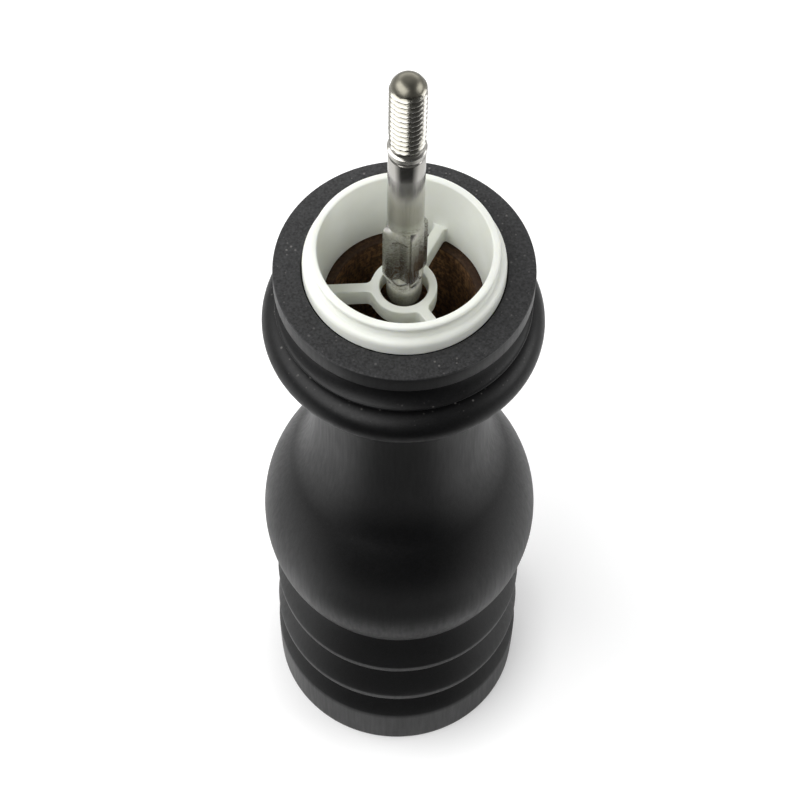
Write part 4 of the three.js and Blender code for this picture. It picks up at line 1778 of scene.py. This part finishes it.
    def screw(
        self, name: str, node: str, ring: float, angle_deg: float, flip: bool, palette: Palette
    ) -> None:
        """One screw: a turned head over a threaded shank that ends in a point, with a cross recess.

        Args:
            name: The piece's name.
            node: The CAD node that it stands for.
            ring: How far it stands from the mill's axis.
            angle_deg: Its direction from the axis.
            flip: True if its head faces down and is countersunk.
            palette: The mill's materials.
        """
        low, high = heights(node)
        length = high - low
        head, head_height = self.screw_head if flip else self.strap_head
        shank = 1.0 if flip else 0.7
        pitch, sides = shank * 0.75, 48
        z = np.linspace(-length + 0.02, -head_height - 0.5, 90)[:, None]
        angle = np.linspace(0, FULL_TURN, sides, endpoint=False)[None]
        crest = np.minimum(shank, 0.15 + 0.65 * (z + length))
        threaded = crest * (1 - 0.3 * (1 - thread_height(z / pitch - angle / FULL_TURN)))
        if flip:
            rim = [(head - 0.08, -0.22), (head, -0.12), (head - 0.1, 0.0)]
            top = np.array([(shank * 0.8, -head_height - 0.3), *rim])
        else:
            under = [(shank * 0.8, -head_height), (head - 0.1, -head_height), (head, -head_height + 0.1)]
            top = np.concatenate([under, arc((0, -0.45), (head, 0.45), 0, 78, 7)])
        radius = np.concatenate([threaded, np.repeat(top[:, :1], sides, 1)])
        height = np.concatenate([z, top[:, 1:]])
        skin = polar(radius, height, angle[0], looped=False)
        sign = -1 if flip else 1
        face = low if flip else high
        upright = Skin(skin.points * [1, sign, sign], False)
        made = make_object(name, turned_copy(moved(upright, ring, face), angle_deg))
        slots = [self.blade(head, turn, sign) for turn in (0.0, 90.0)]
        placed = [turned_copy(moved(blade, ring, face), angle_deg) for blade in slots]
        combine(made, [make_object("blade", blade) for blade in placed], Cut.CARVE)
        Dressing(Body.MILL, "zinc_plated_steel", (node,)).apply(made, palette.zinc)

    def blade(self, head: float, turn_deg: float, sign: int) -> Skin:
        """One wedge of a cross recess, wide at the screw's face and narrow at its bottom.

        Args:
            head: The screw head's radius in millimetres.
            turn_deg: The wedge's direction.
            sign: 1 if the head faces up, and -1 if it faces down.

        Returns:
            The grid.
        """
        depth = 0.75
        z = np.array([0.3, -depth])
        long, short = np.array([head * 0.62, head * 0.3]), np.array([head * 0.15, head * 0.1])
        corners = np.array([[1, 1], [-1, 1], [-1, -1], [1, -1]])
        section = corners[None] * np.stack([long, short], -1)[:, None]
        path = np.stack([0 * z, 0 * z, z * sign], -1)
        along_x = np.broadcast_to([1.0, 0.0, 0.0], path.shape)
        along_y = np.broadcast_to([0.0, 1.0, 0.0], path.shape)
        return turned_copy(sweep(path, along_x, along_y, section), turn_deg)

    def build(self, palette: Palette) -> None:
        """Makes every piece of the grinder.

        Args:
            palette: The mill's materials.
        """
        self.housing(palette)
        self.stator(palette)
        self.rotor(palette)
        self.bush(palette)
        self.spring(palette)
        self.nut(palette)
        stem = self.stem_bore
        self.washer("upper_washer", "upper_spring_washer", stem, Body.MILL, palette)
        self.washer("lower_washer", "thrust_washer", stem, Body.SPRING_SEAT, palette)
        self.washer("clip_washer", "stop_washer", stem, Body.DRIVE, palette)
        self.washer("cone_washer", "rotor_washer", self.tail_bore, Body.DRIVE, palette)
        self.open_ring("shaft_clip", "stop_clip", 2.58, 44.0, Body.DRIVE, palette)
        self.open_ring("retaining_ring", "stator_snap_ring", 13.3, 24.0, Body.MILL, palette)
        for number, angle in enumerate(self.screw_angles, 1):
            name, node = f"flange_screw_{number}", f"housing_screw_{number}"
            self.screw(name, node, self.screw_ring, angle, True, palette)
        for number, angle in enumerate((0.0, 180.0), 1):
            name, node = f"strap_screw_{number}", f"bridge_screw_{number}"
            self.screw(name, node, self.bridge_screw_ring, angle, False, palette)
        strap = frame["nodes"]["bearing_bridge"]
        strap.data.materials.clear()
        strap.data.materials.append(palette.zinc)
        LOG.info("bearing_bridge: kept from the frame, zinc plated")


# ------------------------------------------------------------------ the studio


@dataclass(frozen=True)
class Softbox:
    """A soft area light, placed by the direction that it shines from.

    Attributes:
        name: Its name.
        azimuth_deg: Its direction round the mill, from the front towards the right.
        elevation_deg: Its direction above the floor.
        size: Width and height in metres.
        glow: How bright its face is. A white surface that sees nothing else is as bright.
        distance: How far it stands from the middle of the mill, in metres.
    """

    name: str
    azimuth_deg: float
    elevation_deg: float
    size: tuple[float, float]
    glow: float
    distance: float = 0.9

    def build(self, target: Vector) -> None:
        """Makes the light, turned towards a point, and hidden from the camera itself.

        Args:
            target: The point.
        """
        light = bpy.data.lights.new(self.name, "AREA")
        light.shape = "RECTANGLE"
        light.size, light.size_y = self.size
        light.energy = 4 * self.glow * self.size[0] * self.size[1]
        around, up = math.radians(self.azimuth_deg), math.radians(self.elevation_deg)
        way = Vector((math.sin(around) * math.cos(up), -math.cos(around) * math.cos(up), math.sin(up)))
        lamp = bpy.data.objects.new(self.name, light)
        lamp.location = target + way * self.distance
        lamp.rotation_euler = way.to_track_quat("Z", "Y").to_euler()
        lamp.visible_camera = False
        bpy.context.scene.collection.objects.link(lamp)


@dataclass
class Studio:
    """A pale floor, soft light and the camera.

    Attributes:
        camera_place: Where the camera stands, in metres.
        tilt_deg: How far it looks up from straight down.
        roll_deg: How far it is rolled.
        lens_mm: Its focal length.
        sensor_mm: Its sensor's width.
        target: The point that the lights are turned towards, in metres.
        boxes: The softboxes.
        floor_rings: Radii of the floor's hole under the foot, of a ring round the mill, and of its edge, in
            metres.
        floor_sides: Faces round the floor.
        painted_shadow_span: Distances from the axis, in metres, over which a painted contact shadow round
            the foot fades out to the camera.
        painted_shadow_tones: How light the floor is to the camera at the two.
        floor_glow: How brightly it shines to the camera by itself.
        pale: How light it is to what it is reflected in.
        wedge: How far forward of sideways the dark wedge in front starts, and where it is full.
        near: Where in the wedge it starts to darken, in metres from the axis, and over what distance.
        patch: Where a paler patch lies in the wedge, how wide it is, in metres, and its share of white.
        world_front: Direction along Y where the world is darkest and lightest, and how light it is there.
        world_top: Height of the direction from where on the world darkens upwards, and by how much.
    """

    camera_place: tuple[float, float, float] = (0.0003, -0.2456, 0.5127)
    tilt_deg: float = 31.04
    roll_deg: float = 1.34
    lens_mm: float = 107.2
    sensor_mm: float = 36.0
    target: tuple[float, float, float] = (0.0, 0.0, 0.09)
    boxes: tuple[Softbox, ...] = (
        Softbox("key", -66.0, 48.0, (1.5, 0.7), 2.6),
        Softbox("fill", 90.0, 27.0, (0.66, 0.5), 2.2),
        Softbox("back", 180.0, 30.0, (1.2, 0.5), 0.9),
    )
    floor_rings: tuple[float, float, float] = (0.0255, 0.2, 4.0)
    floor_sides: int = 64
    painted_shadow_span: Span = (0.027, 0.037)
    painted_shadow_tones: Span = (0.7, 0.92)
    floor_glow: float = 0.28
    pale: float = 0.97
    wedge: Span = (-0.35, -0.85)
    near: Span = (0.03, 0.018)
    patch: tuple[float, float, float] = (0.115, 0.022, 0.75)
    world_front: tuple[Span, Span] = ((-0.3, 0.6), (0.14, 0.75))
    world_top: tuple[Span, Span] = ((0.35, 0.85), (1.0, 0.45))

    def floor(self) -> None:
        """A large round floor: rings of points at even angles, with a face between each four neighbours.

        It is open under the foot, where the mill hides it, so that the grinder can be seen from below.
        """
        radius = np.array(self.floor_rings)[:, None]
        angle = np.linspace(0, FULL_TURN, self.floor_sides, endpoint=False)
        level = np.zeros((len(radius), self.floor_sides))
        points = np.stack([radius * np.cos(angle), radius * np.sin(angle), level], -1)
        row, column = np.meshgrid(np.arange(len(radius) - 1), np.arange(self.floor_sides), indexing="ij")
        sides = self.floor_sides
        here = row * sides + column
        after = row * sides + (column + 1) % sides
        quads = np.stack([here, here + sides, after + sides, after], -1).reshape(-1, 4)
        mesh = bpy.data.meshes.new("floor")
        mesh.from_pydata(points.reshape(-1, 3).tolist(), [], quads.tolist())
        mesh.materials.append(self.floor_material())
        floor = bpy.data.objects.new("floor", mesh)
        bpy.context.scene.collection.objects.link(floor)

    def floor_material(self) -> bpy.types.Material:
        """A matt white floor, lit a little from within to the camera, with a painted contact shadow round
        the foot, and see-through from below.

        What it throws on the mill is darker in a wedge in front of it, as in a room that is dark behind the
        camera. It stays near white close to the foot, and has one paler patch further out.

        Returns:
            The material.
        """
        material = bpy.data.materials.new("pale_floor")
        material.use_nodes = True
        graph = Graph(material.node_tree)
        seen = graph.add("LightPath").outputs["Is Camera Ray"]
        place = graph.point()
        away = graph.add("VectorMath", {0: place}, operation="LENGTH").outputs["Value"]
        forward = graph.maths("DIVIDE", graph.add("SeparateXYZ", {0: place}).outputs[1], away)
        start, length = self.near
        near = graph.bell(graph.maths("MAXIMUM", away, start), start, length)
        faded = graph.maths("MAXIMUM", graph.maths("SUBTRACT", self.pale, near), 0.0)
        middle, width, share = self.patch
        unpatched = graph.maths("SUBTRACT", 1.0, graph.product(graph.bell(away, middle, width), share))
        dark = graph.product(graph.remap(forward, self.wedge), graph.product(faded, unpatched))
        thrown = graph.product(graph.maths("SUBTRACT", 1.0, dark), self.pale)
        # Painted contact shadow: to the camera, the floor is darker close round the foot.
        shown = graph.remap(away, self.painted_shadow_span, self.painted_shadow_tones)
        from_above = graph.maths("SUBTRACT", 1.0, graph.add("NewGeometry").outputs["Backfacing"])
        inputs = {
            "Base Color": graph.blend(seen, graph.grey(thrown), graph.grey(shown)),
            "Roughness": 0.9,
            "Specular IOR Level": 0.1,
            "Alpha": from_above,
            "Emission Color": graph.grey(seen),
            "Emission Strength": self.floor_glow,
        }
        shader = graph.add("BsdfPrincipled", inputs)
        graph.add("OutputMaterial", {"Surface": shader.outputs[0]})
        return material

    def world(self) -> None:
        """Even pale light from behind and below, fading to dark in front of the mill and above it."""
        world = bpy.data.worlds.new("studio")
        world.use_nodes = True
        bpy.context.scene.world = world
        graph = Graph(world.node_tree)
        split = graph.add("SeparateXYZ", {0: graph.add("TexCoord").outputs["Generated"]})
        behind = graph.remap(split.outputs[1], *self.world_front)
        level = graph.product(behind, graph.remap(split.outputs[2], *self.world_top))
        seen = graph.add("LightPath").outputs["Is Camera Ray"]
        strength = graph.add("Mix", {0: seen, 2: level, 3: 1.0}).outputs[0]
        light = graph.add("Background", {"Color": (1, 1, 1, 1), "Strength": strength})
        graph.add("OutputWorld", {"Surface": light.outputs[0]})

    def camera(self) -> None:
        """The camera, above and in front of the mill, looking down on its mouth."""
        data = bpy.data.cameras.new("camera")
        data.lens, data.sensor_width = self.lens_mm, self.sensor_mm
        camera = bpy.data.objects.new("camera", data)
        tilt = Matrix.Rotation(math.radians(self.tilt_deg), 4, "X")
        roll = Matrix.Rotation(math.radians(self.roll_deg), 4, "Z")
        camera.matrix_world = Matrix.Translation(self.camera_place) @ tilt @ roll
        bpy.context.scene.collection.objects.link(camera)
        bpy.context.scene.camera = camera

    def build(self) -> None:
        """Makes the floor, the light and the camera."""
        self.camera()
        self.floor()
        self.world()
        for box in self.boxes:
            box.build(Vector(self.target))
        bpy.context.scene.view_settings.view_transform = "Standard"
        LOG.info("studio: %d softboxes", len(self.boxes))


def main() -> None:
    """Builds the mill, one sub-assembly after another, and the studio round it."""
    logging.basicConfig(level=logging.INFO, format="%(message)s")
    Studio().build()
    palette = Palette()
    for assembly in (TurnedBody(), GuideCup(), DriveShaft(), Grinder()):
        assembly.build(palette)


if __name__ == "__main__":
    main()
